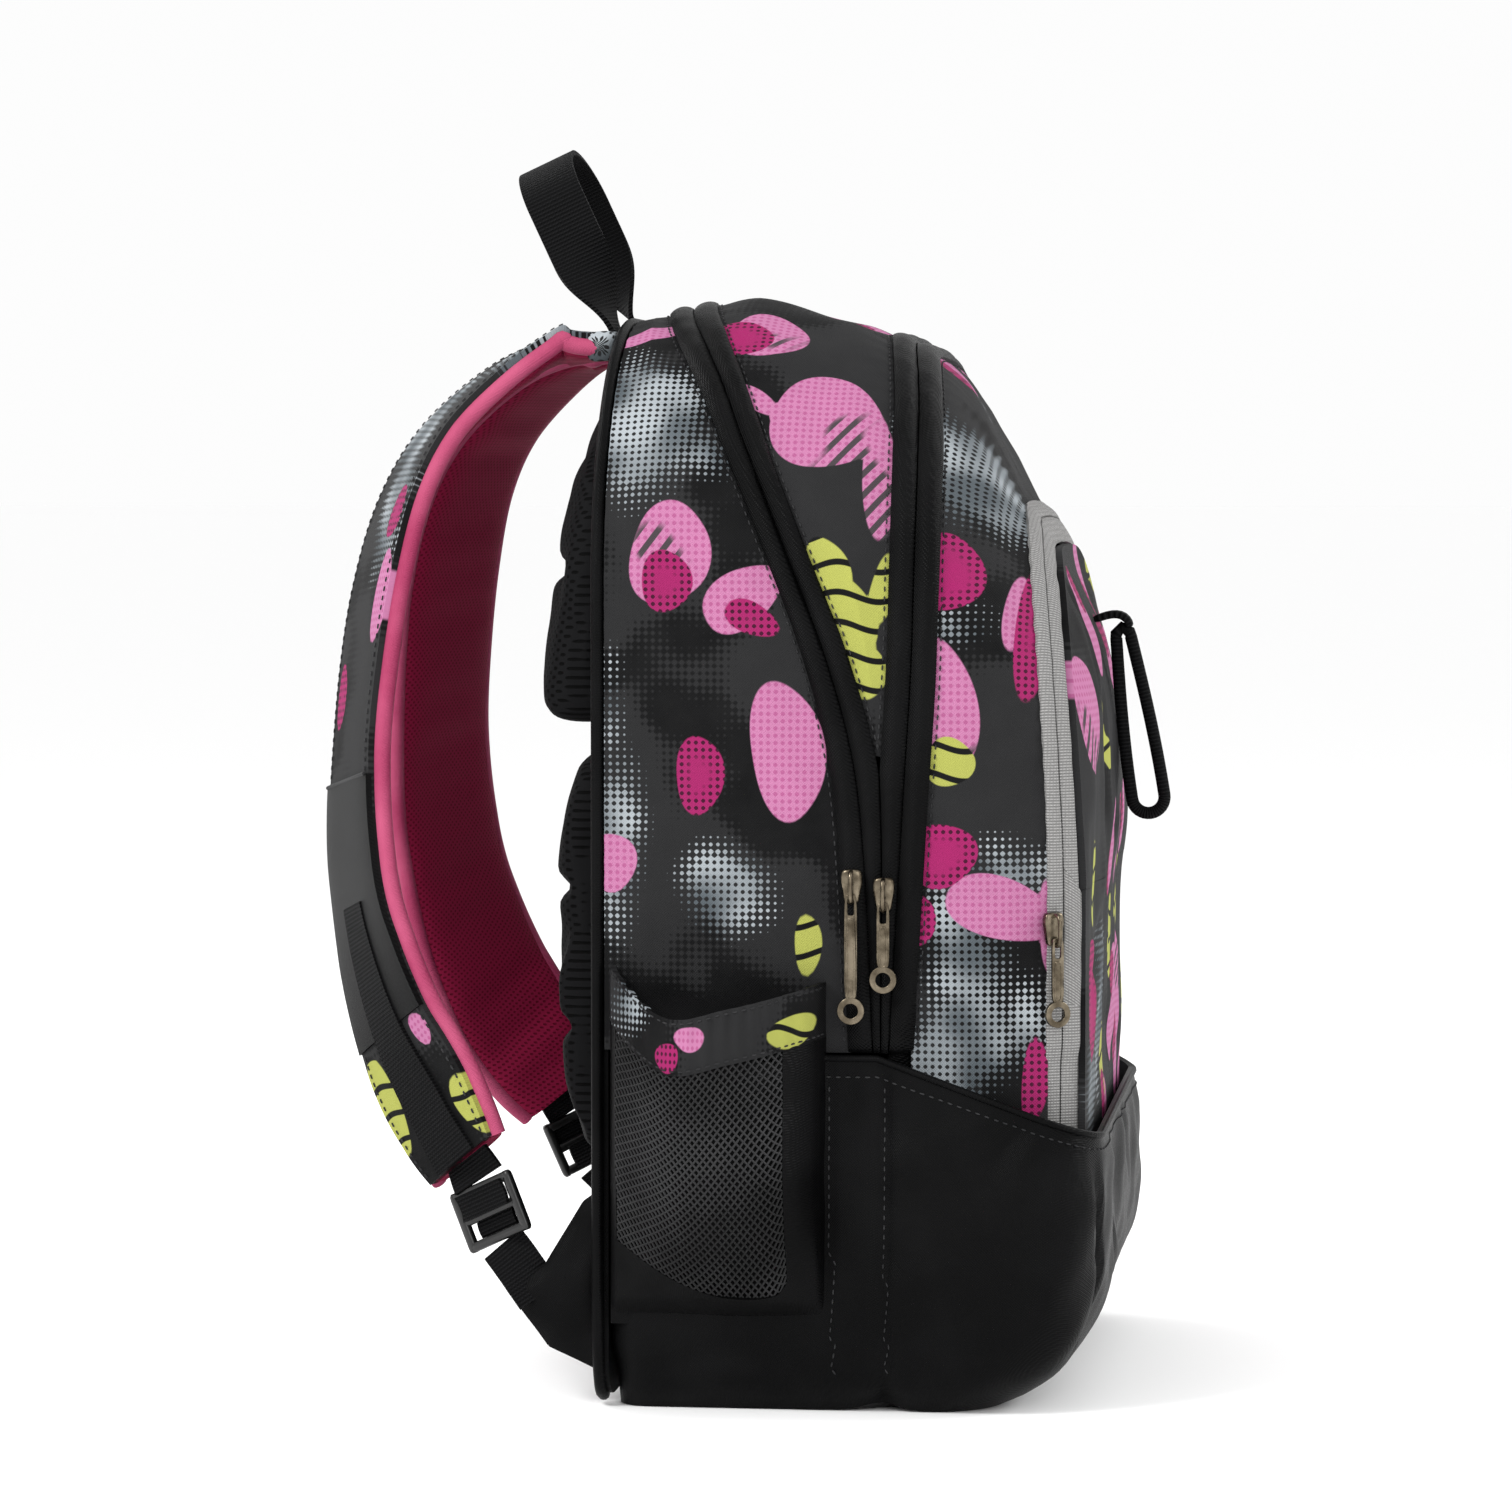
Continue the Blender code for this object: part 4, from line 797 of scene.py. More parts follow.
def stitch_row(name, points, normals, body):
    """A row of stitches along a line, standing a little proud of the cloth."""
    size, pitch = (0.0022, 0.0007, 0.0005), 0.0040
    points, normals = np.asarray(points, float), np.asarray(normals, float)
    run = run_length(points)
    places = []
    for s in np.arange(pitch, run[-1] - pitch, pitch):
        p = [np.interp(s, run, points[:, k]) for k in range(3)]
        q = [np.interp(s + 0.001, run, points[:, k]) for k in range(3)]
        n = Vector([np.interp(s, run, normals[:, k]) for k in range(3)]).normalized()
        along = (Vector(q) - Vector(p)).normalized()
        places.append((Vector(p) + n * 0.0002, along, along.cross(n).normalized(), n))
    fit(small_boxes(name, places, size, THREAD), body)


def middle_zip(a):
    return (main_zip(a) + second_zip(a)) / 2


def make_body_cloth():
    overlap = 0.0012
    panel("rear_gusset_cloth", lambda a: 0.0 * a + 0.0004, lambda a: main_zip(a) - ZIP_HALF + overlap,
          44, LOW_END, "bag_back", "rear_gusset", 11)
    panel("mid_gusset_cloth", lambda a: main_zip(a) + ZIP_HALF - overlap,
          lambda a: np.maximum(second_zip(a) - ZIP_HALF + overlap, main_zip(a) + ZIP_HALF),
          34, FORK, "mid_section", "mid_gusset", 21)
    panel("front_gusset_cloth", lambda a: second_zip(np.minimum(a, 1.0)) + ZIP_HALF - overlap,
          lambda a: pocket_zip(a) - POCKET_ZIP_HALF + overlap / 2, 34, TUCK, "front_section",
          "front_gusset", 41)
    lip = 0.0003
    zip_tape("main_zip_rear", lambda a: main_zip(a) - ZIP_HALF, lambda a: main_zip(a) - lip,
             TAPE, "bag_back", "main_zip_rear_tape")
    zip_tape("main_zip_front", lambda a: np.minimum(main_zip(a) + ZIP_HALF, middle_zip(a) - lip),
             lambda a: main_zip(a) + lip, TAPE, "mid_section",
             "main_zip_front_tape")
    zip_tape("second_zip_rear", lambda a: np.maximum(second_zip(a) - ZIP_HALF, middle_zip(a) + lip),
             lambda a: second_zip(a) - lip, TAPE, "mid_section",
             "second_zip_rear_tape")
    zip_tape("second_zip_front", lambda a: second_zip(a) + ZIP_HALF, lambda a: second_zip(a) + lip,
             TAPE, "front_section", "second_zip_front_tape", last=TUCK,
             tuck=0.0042)
    zip_tape("pocket_zip_rear", lambda a: pocket_zip(a) - POCKET_ZIP_HALF,
             lambda a: pocket_zip(a) - lip, SILVER, "front_section",
             "pocket_zip_rear_tape", last=TUCK, height=0.0016)
    zip_tape("pocket_zip_front", lambda a: pocket_zip(a) + POCKET_ZIP_HALF,
             lambda a: pocket_zip(a) + lip, SILVER, "flap",
             "pocket_zip_front_tape", last=flap_limit(), height=0.0016)
    for side, name in SIDES:
        zip_tape("pocket_zip_lower_" + name, lambda a: pocket_zip(a) + POCKET_ZIP_HALF + 0.0010,
                 lambda a: pocket_zip(a) + lip, SILVER, "front_section", None,
                 last=TUCK, height=0.0016, span=(side * (flap_limit() + 0.001), side * TUCK))
    for name, line, near, far in (("main", main_zip, "bag_back", "mid_section"),
                                  ("second", second_zip, "mid_section", "front_section")):
        zip_teeth(name + "_teeth_rear", line, -1, TAPE, near)
        zip_teeth(name + "_teeth_front", line, 1, TAPE, far)
    zip_teeth("pocket_teeth_rear", pocket_zip, -1, SILVER, "front_section")
    zip_teeth("pocket_teeth_front", pocket_zip, 1, SILVER, "flap", flap_limit())
    for name, line, side, body, last in (
            ("main_rear_stitches", main_zip, -1, "bag_back", 1.0),
            ("main_front_stitches", main_zip, 1, "mid_section", FORK),
            ("second_rear_stitches", second_zip, -1, "mid_section", FORK),
            ("second_front_stitches", second_zip, 1, "front_section", 1.0)):
        at = np.linspace(-last, last, 500)
        depth = line(np.abs(at)) + side * (ZIP_HALF + 0.0015)
        points = skin(at, depth)
        forward = skin(at, depth + 0.001) - skin(at, depth - 0.001)
        normal = np.cross(np.gradient(points, axis=0), forward)
        normal /= np.linalg.norm(normal, axis=1, keepdims=True)
        flip = np.sign((normal * (points - np.array((0, 0, 0.25)))).sum(axis=1, keepdims=True))
        stitch_row(name, points - flip * normal * 0.0003, normal * flip, body)


# ---------------------------------------------------------------- front pocket

def flap_edge(a):
    return pocket_zip(a) + POCKET_ZIP_HALF + GAP


def flap_limit():
    """The arch position where the pocket zip meets the flap's hinge line."""
    at = np.linspace(SPRING, 1.0, 3000)
    above = skin(at, flap_edge(at))[:, 2] > FLAP_HINGE_Z
    return float(at[above].max())


def cloth_front(x, z):
    """How far the pocket's cloth stands from its plain shape."""
    seed = 61
    points = np.stack([x, np.zeros_like(x), z], -1)
    crease = np.maximum(1 - np.abs(ripple(points, 0.10, seed + 2)) / 0.25, 0)
    crease = crease * step(0.0, 1.2, ripple(points, 0.08, seed + 3))
    return (0.0012 * ripple(points, 0.075, seed) + 0.0005 * ripple(points, 0.028, seed + 1)
            - 0.0018 * crease)


def make_flap():
    last = flap_limit()
    at = arch_samples(last)
    edge = skin(at, flap_edge(np.abs(at)))
    edge_depth = flap_edge(np.abs(at)) + WALL
    share = np.concatenate([np.linspace(0.004, 0.8, 44), np.linspace(0.8, 1.0, 16)[1:]])
    x = edge[:, 0][:, None] * share
    z = FLAP_HINGE_Z + (edge[:, 2] - FLAP_HINGE_Z)[:, None] * share
    full = np.maximum(front_at(z), edge_depth[:, None])
    depth = full - (full - edge_depth[:, None]) * share ** 6
    fade = step(1.0, 0.86, share)[None, :]
    depth = depth + cloth_front(x, z) * fade + 0.0008 * fade
    turned = flap_edge(np.abs(at))[:, None] + np.array([[0.0018, 0.0002]])
    depth = np.hstack([depth, turned])
    x, z = (np.hstack([grid, grid[:, -1:], grid[:, -1:]]) for grid in (x, z))
    outer = np.stack([x, Y_BACK - depth, z], -1)
    inward = np.stack([-x, 0.0 * x, FLAP_HINGE_Z - z], -1)
    inward /= np.linalg.norm(inward, axis=2, keepdims=True) + 1e-9
    inner = outer + np.array((0, CLOTH, 0)) * step(1.02, 0.9, np.r_[share, 1.05, 1.1])[None, :, None]
    inner[:, -3:] += inward[:, -3:] * CLOTH
    made = shell("pocket_flap_cloth", outer, inner, [PRINTED, LINING])
    set_print(made, set_fabric(made, x, z), FRONT_MOTIFS)
    fit(made, "flap", "pocket_flap")


def make_front_lower():
    edge = float(pocket_zip(1.0)) + POCKET_ZIP_HALF + GAP
    low = float(rim_height(0.193)) - NEST_DEPTH
    z = np.r_[np.linspace(low, FLAP_HINGE_Z - 0.0002, 42), FLAP_HINGE_Z + 0.0010,
              FLAP_HINGE_Z + 0.0040][:, None]
    across = np.concatenate([[-1.12, -1.06], np.linspace(-1, 1, 90), [1.06, 1.12]])[None, :]
    half = width_at(edge) * taper(edge, z)
    inner = np.abs(across) <= 1
    full = front_at(z)
    depth = full - (full - edge - WALL) * np.minimum(np.abs(across), 1.0) ** 6
    back = edge + 0.0002
    wrap = np.clip((np.abs(across) - 1) / 0.12, 0, 1)
    side_half = width_at(back) * taper(back, z)
    x = np.where(inner, across * half, np.sign(across) * (half + (side_half - half) * wrap))
    depth = np.where(inner, depth, edge + WALL + (back - edge - WALL) * wrap)
    fade = step(1.0, 0.86, np.abs(across)) * step(low + 0.004, low + 0.03, z)
    depth = depth + (cloth_front(x, z + 0 * x) + 0.0008) * fade
    depth = depth - 0.0022 * step(FLAP_HINGE_Z - 0.0002, FLAP_HINGE_Z + 0.0010, z) * inner
    rise = np.maximum(z - FLAP_HINGE_Z + 0.0002, 0.0)
    z = z - rise * step(0.80, 0.92, np.abs(across))
    outer = np.stack([x, Y_BACK - depth, z + 0 * x], -1)
    normal = normals_of(outer, (0, 0, 0.16))
    made = shell("front_lower_cloth", outer, outer - normal * CLOTH, [PRINTED, LINING])
    set_print(made, set_fabric(made, x, z + 0 * x), FRONT_MOTIFS)
    fit(made, "front_section", "front_lower_panel")


def make_loop():
    """The hanging loop: a doubled tape rolled into a round strand, held in a folded tab."""
    hinge = np.array((0.0, Y_BACK - LOOP_HINGE[0], LOOP_HINGE[1]))
    lean = math.radians(9)
    down = np.array((0.0, -math.sin(lean), -math.cos(lean)))
    side = np.array((0.0, -math.cos(lean), math.sin(lean)))
    half_width, length, tip = 0.0070, 0.084, 0.0030
    share = np.linspace(0, 1, 36)
    along = 0.0055 + (length - half_width - 0.0055) * share
    spread = tip + (half_width - tip) * np.sin(math.pi / 2 * share)
    right = hinge + down * along[:, None] + side * spread[:, None]
    left = hinge + down * along[:, None] - side * spread[:, None]
    turns = np.linspace(0, math.pi, 17)[1:-1]
    bottom = [hinge + down * (length - half_width + half_width * math.sin(t))
              + side * half_width * math.cos(t) for t in turns]
    top = [hinge + down * 0.0030]
    route = np.vstack([right, bottom, left[::-1], top])
    made = tube("hanging_loop_tape", route, 0.0027, WEBBING, 12, closed=True)
    flat = np.zeros((len(made.data.vertices), 2))
    flat[:, 1] = np.repeat(np.arange(len(route)) * 0.002, 12)
    set_fabric(made, flat[:, 0], flat[:, 1], copies=1)
    fit(made, "hanging_loop", "front_loop")
    low, high = (np.array(v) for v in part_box("loop_tab"))
    middle = (low + high) / 2
    out, up = np.array((0.0, -0.957, 0.29)), np.array((0.0, 0.29, 0.957))
    sections = []
    path = [(-0.0062, 0.0, 0.7), (-0.0052, 0.0, 1.0), (0.0, 0.0002, 1.04), (0.0040, -0.0004, 1.08),
            (0.0070, -0.0024, 1.08), (0.0082, -0.0056, 1.0), (0.0080, -0.0078, 0.8)]
    for k, (along, drop, size) in enumerate(path):
        before, after = path[max(k - 1, 0)], path[min(k + 1, len(path) - 1)]
        heading = np.array((after[0] - before[0], after[1] - before[1]))
        heading /= np.linalg.norm(heading)
        thick = up * heading[0] - out * heading[1]
        sections.append([middle + out * along + up * drop + np.array((0.0052 * c * size, 0, 0))
                         + thick * 0.0017 * n * size for c, n in rounded_ring(20, 0.4)])
    made = lofted("loop_tab_tape", sections, WEBBING)
    set_fabric(made, np.zeros(20 * len(path)), np.repeat(np.arange(len(path)) * 0.0026, 20), copies=1)
    fit(made, "flap", "loop_tab")


# ---------------------------------------------------------------- base

BASE_WIDTH = curve([(0.0, 0.137), (0.012, 0.1445), (0.03, 0.1485), (0.06, 0.150), (0.16, 0.150)])
BASE_FRONT = curve([(0.0, 0.162), (0.006, 0.173), (0.02, 0.188), (0.045, 0.1985), (0.07, 0.203),
                    (0.16, 0.203)])


def tub_outline(z_level, steps=10):
    """The plan of the base at a height: x and depth round its closed outline."""
    half, front = float(BASE_WIDTH(z_level)), float(BASE_FRONT(z_level))
    back, round_front, round_back = 0.0038, 0.030, 0.012
    ring = []
    for side, edge, radius, begin in ((-1, back, round_back, 270), (-1, front, round_front, 180),
                                      (1, front, round_front, 90), (1, back, round_back, 0)):
        forward = -1 if edge == back else 1
        cx, cd = side * (half - radius), edge - forward * radius
        for i in range(steps + 1):
            turn = math.radians(begin - 90 * i / steps)
            ring.append((cx + radius * math.cos(turn), cd + radius * math.sin(turn)))
    return np.array(ring)


def resampled(ring, count):
    closed = np.vstack([ring, ring[:1]])
    run = run_length(closed)
    stops = np.linspace(0, run[-1], count, endpoint=False)
    return np.stack([np.interp(stops, run, closed[:, 0]), np.interp(stops, run, closed[:, 1])], -1)


def make_base():
    """The black lower bag: soft walls, a fold where its two halves meet, and a flat bottom."""
    count = 340
    levels = np.concatenate([[0.0, 0.0008], np.linspace(0.003, 0.03, 12), np.linspace(0.034, 0.14, 26)])
    plan = np.array([resampled(tub_outline(z), count) for z in levels])
    x, depth = plan[..., 0], plan[..., 1]
    rim = rim_height(depth)
    z = levels[:, None] * rim / levels[-1]
    base = np.stack([x, Y_BACK - depth, z + 0 * x], -1)
    normal = normals_of(base, (0, 0, 0.07))
    up = step(0.004, 0.030, z)
    rim_fade = step(0.0, 0.014, rim - z)
    soft = 0.0016 * ripple(base, 0.080, 71) + 0.0008 * ripple(base, 0.030, 72)
    folds = ripple(base * np.array((1, 1, 0.6)), 0.085, 73)
    crease = -0.0042 * np.maximum(1 - np.abs(folds) / 0.22, 0)
    crease = crease * step(-0.3, 0.9, ripple(base, 0.09, 74))
    on_side = step(0.120, 0.140, np.abs(x))
    fold = np.exp(-((depth - HINGE_D - 0.002) / 0.0035) ** 2) * on_side
    swell = 0.0016 * np.sin(math.pi * np.clip(z / 0.13, 0, 1))
    seam = np.exp(-((depth - 0.0925) / 0.0016) ** 2) * on_side
    lift = (soft + crease + swell) * up * rim_fade - fold * 0.0026 * rim_fade - 0.0008 * seam
    outer = base + normal * lift[..., None]
    raised = np.maximum(outer[..., 2], 0.0005)
    outer[..., 2] = np.where(levels[:, None] <= 0.0008, base[..., 2], raised)
    notch = np.exp(-((depth - HINGE_D) / 0.010) ** 2) * on_side * step(0.012, 0.0, z)
    outer[..., 2] += notch * 0.0035
    outer[0, :, 2] = np.maximum(outer[0, :, 2], 0.0)
    inner = outer - normal * 0.0022
    inner[..., 2] = np.maximum(inner[..., 2], 0.0022)
    rows, columns = outer.shape[:2]
    verts = np.concatenate([outer.reshape(-1, 3), inner.reshape(-1, 3)])
    faces = ring_faces(rows, columns)[:-2]
    outer_count, shift, top = len(faces), rows * columns, (rows - 1) * columns
    faces += [tuple(reversed([v + shift for v in f])) for f in faces[:outer_count]]
    for c in range(columns):
        n = (c + 1) % columns
        faces.append((top + c, top + n, top + n + shift, top + c + shift))
    faces += [tuple(reversed(range(columns))), tuple(range(shift, shift + columns))]
    slots = [0] * outer_count + [1] * outer_count + [0] * columns + [0, 1]
    made = finish_mesh("base_cloth", verts, faces, [BLACK, LINING], slots)
    fit(made, "bag_back", "base_tub")
    for side, name in SIDES:
        for seam_depth, label in ((0.0945, "rear"), (0.1165, "front")):
            away = np.abs(depth[6:-2] - seam_depth) + 10.0 * (x[6:-2] * side < 0)
            picks = np.arange(6, rows - 2), away.argmin(axis=1)
            stitch_row(f"base_side_stitches_{label}_{name}", outer[picks], normal[picks], "bag_back")
    rim_points = outer[-1] + normal[-1] * 0.0002 - np.array((0, 0, 0.0012))
    fit(tube("base_binding", rim_points, 0.0014, BLACK, 8, closed=True), "bag_back")
    stitch_row("base_stitches", outer[-3] + normal[-3] * 0.0001, normal[-3], "bag_back")


# ---------------------------------------------------------------- side pockets

BAND_TOP = curve([(0.0, 0.184), (0.30, 0.166), (0.60, 0.170), (1.0, 0.178)])
NET_LOW = curve([(0.0, 0.074), (0.10, 0.069), (0.35, 0.0555), (0.55, 0.0490), (0.78, 0.0500),
                 (0.86, 0.058), (1.0, 0.064)])


def pocket_surface(side, across, z, lift):
    depth = 0.003 + 0.089 * across
    swell = 0.038 * np.sin(math.pi * np.clip(across, 0, 1)) ** 0.7
    rise = np.sin(np.clip((z - 0.040) / 0.085, 0, 1) * math.pi / 2) ** 0.8
    seam = 1 - step(0.0, 0.035, np.minimum(across, 1 - across)) * step(0.038, 0.050, z)
    x = 0.150 + GAP + 0.002 + swell * rise + lift - 0.0036 * seam
    return np.stack([side * x, Y_BACK - depth, z + 0 * x], -1)


def pocket_softness(points, seed):
    return 0.0010 * ripple(points, 0.045, seed) + 0.0005 * ripple(points, 0.02, seed + 5)


def make_side_pocket(side, name):
    seed = 80 + side
    first, last = 0.045, 0.835

    def cloth(label, across, z, material, slot, extra=0.0, thickness=0.0014, node=None):
        across, z = np.broadcast_arrays(across, z)
        soft = pocket_softness(pocket_surface(side, across, z, 0.0), seed)
        soft = soft * step(0.0, 0.12, np.minimum(across, 1 - across)) * step(0.040, 0.060, z)
        points = pocket_surface(side, across, z, soft + extra)
        normal = normals_of(points, (side * 0.10, 0.05, 0.11))
        made = shell(label, points, points - normal * thickness, [material])
        set_print(made, set_fabric(made, side * across * 0.14, z), BAND_MOTIFS)
        fit(made, "bag_back", node)
        return points, normal

    columns = np.linspace(0, 1, 61)[None, :]
    share = np.linspace(0, 1, 26)[:, None]
    cloth("pocket_base_" + name, columns, 0.036 + (NET_LOW(columns) - 0.036) * share, BLACK,
          "black_fabric")
    rear = np.linspace(0, first, 5)[None, :]
    front = np.linspace(last, 1, 13)[None, :]
    rise = np.linspace(0, 1, 44)[:, None]
    for label, part in (("pocket_rear_", rear), ("pocket_front_", front)):
        low = NET_LOW(part)
        cloth(label + name, part, low + (BAND_TOP(part) - 0.022 - low) * rise, BLACK, "black_fabric")
    make_net(side, name, first, last, seed)
    columns = np.linspace(0, 1, 90)[None, :]
    share = np.linspace(0, 1, 14)[:, None]
    gather = 0.0007 * np.sin(columns * 2 * math.pi * 13 + 2 * np.sin(columns * 9)) * (0.4 + 0.6 * share)
    roll = 0.0012 * np.sin(math.pi * share) ** 0.5
    z = BAND_TOP(columns) - 0.0225 * (1 - share)
    points, normal = cloth("pocket_band_" + name, columns, z, PRINTED, "printed_fabric",
                           gather + roll, 0.0024, "side_pocket_band_" + name)
    for row, label in ((1, "low"), (-2, "top")):
        stitch_row(f"band_stitches_{label}_{name}", points[row], normal[row], "bag_back")


BAND_MOTIFS = [("yellow", -0.122, 0.160, 0.014, 0.0065, -12),
               ("magenta", -0.045, 0.150, 0.008, 0.006, 0),
               ("pink", -0.060, 0.158, 0.010, 0.005, 0), ("grey", -0.018, 0.170, 0.012, 0.010, 0),
               ("magenta", 0.030, 0.160, 0.010, 0.007, 0), ("grey", 0.070, 0.158, 0.018, 0.010, 0),
               ("yellow", 0.110, 0.166, 0.012, 0.006, 0)]


def make_net(side, name, first, last, seed):
    """Open diamond netting of real threads between the pocket's cloth edges."""
    cell, tall, thread = 0.0042, 27, 0.00042
    wide = int(round((last - first) * 0.130 / cell))
    verts, index, edges = [], {}, []
    for r in range(2 * tall + 1):
        for c in range(2 * wide + 1):
            if (r + c) % 2:
                continue
            across = first + (last - first) * c / (2 * wide)
            low, high = float(NET_LOW(across)), float(BAND_TOP(across)) - 0.021
            z = low + (high - low) * r / (2 * tall)
            flat = pocket_surface(side, np.array(across), np.array(z), 0.0)
            soft = pocket_softness(flat, seed)
            index[r, c] = len(verts)
            verts.append(pocket_surface(side, np.array(across), np.array(z), float(soft) - 0.0006))
    for (r, c), i in index.items():
        for dr, dc in ((1, 1), (1, -1)):
            if (r + dr, c + dc) in index:
                edges.append((i, index[r + dr, c + dc]))
    verts = np.array(verts)
    out = np.array((side, 0.0, 0.0))
    points, faces = [], []
    for a, b in edges:
        p, q = verts[a], verts[b]
        along = (q - p) / np.linalg.norm(q - p)
        w = np.cross(along, out)
        w /= np.linalg.norm(w)
        n = np.cross(w, along)
        start = len(points)
        for end in (p - along * thread * 0.4, q + along * thread * 0.4):
            points += [end + w * thread, end + n * thread * 0.8, end - w * thread, end - n * thread * 0.8]
        faces += [(start + i, start + (i + 1) % 4, start + 4 + (i + 1) % 4, start + 4 + i)
                  for i in range(4)]
        faces += [(start + 3, start + 2, start + 1, start), (start + 4, start + 5, start + 6, start + 7)]
    made = finish_mesh("pocket_net_" + name, points, faces, [NET])
    fit(made, "bag_back", "side_pocket_" + name)


# ---------------------------------------------------------------- back panel and pads

def arch_outline(half, top, corner, bottom, steps=24, low_corner=0.004):
    """A closed (x, z) outline, small-cornered below and round-shouldered above."""
    points = []
    for side, level, radius, quarter, count in (
            (-1, bottom, low_corner, 2, 6), (1, bottom, low_corner, 3, 6),
            (1, top, corner, 0, steps), (-1, top, corner, 1, steps)):
        rise = 1 if level == bottom else -1
        for i in range(count + 1):
            turn = math.pi / 2 * (quarter + i / count)
            points.append((side * (half - radius) + radius * math.cos(turn),
                           level + rise * radius + radius * math.sin(turn)))
    return np.array(points)


def fan(outline, centre, rings):
    """Points from centre out to a closed outline, as a grid of rings and outline points."""
    share = np.array(rings)[None, :, None]
    return np.array(centre) + (outline[:, None, :] - np.array(centre)) * share


def flat_sheet(name, outline, depth, thickness, material, body, node, seed, wave=0.0008):
    """A hanging sheet of cloth inside the bag or on its back, gently uneven."""
    rings = np.linspace(0.004, 1, 26)
    grid = fan(outline, outline.mean(axis=0), rings)
    points = np.stack([grid[..., 0], np.full(grid.shape[:2], Y_BACK - depth), grid[..., 1]], -1)
    fade = step(1.0, 0.9, rings)[None, :]
    soft = wave * (ripple(points, 0.07, seed) + 0.5 * ripple(points, 0.03, seed + 1)) * fade
    front = points.copy()
    front[..., 1] += soft + thickness / 2
    behind = points.copy()
    behind[..., 1] += soft - thickness / 2
    fit(shell(name, front, behind, [material]), body, node)


def closed_loop(outline, count):
    ring = resampled(outline, count)
    return np.vstack([ring, ring[:1]])


def read_points(mesh):
    points = np.empty(len(mesh.vertices) * 3)
    mesh.vertices.foreach_get("co", points)
    return points.reshape(-1, 3)


def inflate(made):
    """Remeshes a pad, blows it up as cloth with no gravity, and caps how far it moves."""
    cap, frames, pressure, stiffness, voxel = 0.0035, 20, 4.0, 12, 0.005
    remesh = made.modifiers.new("remesh", "REMESH")
    remesh.mode, remesh.voxel_size = "VOXEL", voxel
    bpy.context.view_layer.objects.active = made
    bpy.ops.object.modifier_apply(modifier=remesh.name)
    rest = read_points(made.data)
    cloth = made.modifiers.new("cloth", "CLOTH")
    cloth.settings.use_pressure = True
    cloth.settings.uniform_pressure_force = pressure
    cloth.settings.effector_weights.gravity = 0.0
    cloth.settings.tension_stiffness = cloth.settings.compression_stiffness = stiffness
    cloth.point_cache.frame_start, cloth.point_cache.frame_end = 1, frames
    for number in range(1, frames + 1):
        bpy.context.scene.frame_set(number)
    graph = bpy.context.evaluated_depsgraph_get()
    shift = read_points(made.evaluated_get(graph).data) - rest
    size = np.linalg.norm(shift, axis=1, keepdims=True)
    shift *= np.minimum(1.0, cap / np.maximum(size, 1e-9))
    made.modifiers.remove(cloth)
    bpy.context.scene.frame_set(1)
    rest = rest + shift
    made.data.vertices.foreach_set("co", rest.ravel())
    made.data.update()


def make_pad(name, outline, thickness, node, channels, seed):
    """A back pad: foam under spacer mesh, blown up a little and sewn down in channels."""
    base = Y_BACK + 0.0006
    ring = resampled(outline, 120)
    centre = ring.mean(axis=0)
    thickness_at = curve(thickness)
    verts = []
    levels = [(0.985, 0.0), (1.0, 0.35), (1.0, 0.70), (0.985, 0.88), (0.95, 0.97), (0.86, 1.0),
              (0.60, 1.0), (0.25, 1.0)]
    for scale, rise in levels:
        for x, z in centre + (ring - centre) * scale:
            verts.append((x, base + float(thickness_at(z)) * rise * 0.97, z))
    made = finish_mesh(name, verts, ring_faces(len(levels), len(ring)), [PAD_MESH])
    inflate(made)
    subdivide = made.modifiers.new("finer", "SUBSURF")
    subdivide.levels = subdivide.render_levels = 1
    bpy.context.view_layer.objects.active = made
    bpy.ops.object.modifier_apply(modifier=subdivide.name)
    co = read_points(made.data)
    rise = step(base + 0.004, base + 0.012, co[:, 1])
    dip = np.zeros(len(co))
    for x0, z0, x1, z1 in channels:
        line = np.array((x1 - x0, z1 - z0))
        t = np.clip(((co[:, 0] - x0) * line[0] + (co[:, 2] - z0) * line[1]) / (line @ line), 0, 1)
        away = np.hypot(co[:, 0] - x0 - t * line[0], co[:, 2] - z0 - t * line[1])
        dip = np.maximum(dip, np.exp(-(away / 0.0042) ** 2))
    co[:, 1] -= dip * rise * 0.0052
    co[:, 1] += 0.0005 * ripple(co, 0.03, seed) * rise
    co[:, 1] = np.maximum(co[:, 1], base)
    made.data.vertices.foreach_set("co", co.ravel())
    made.data.update()
    made.data.shade_smooth()
    fit(made, "bag_back", node)


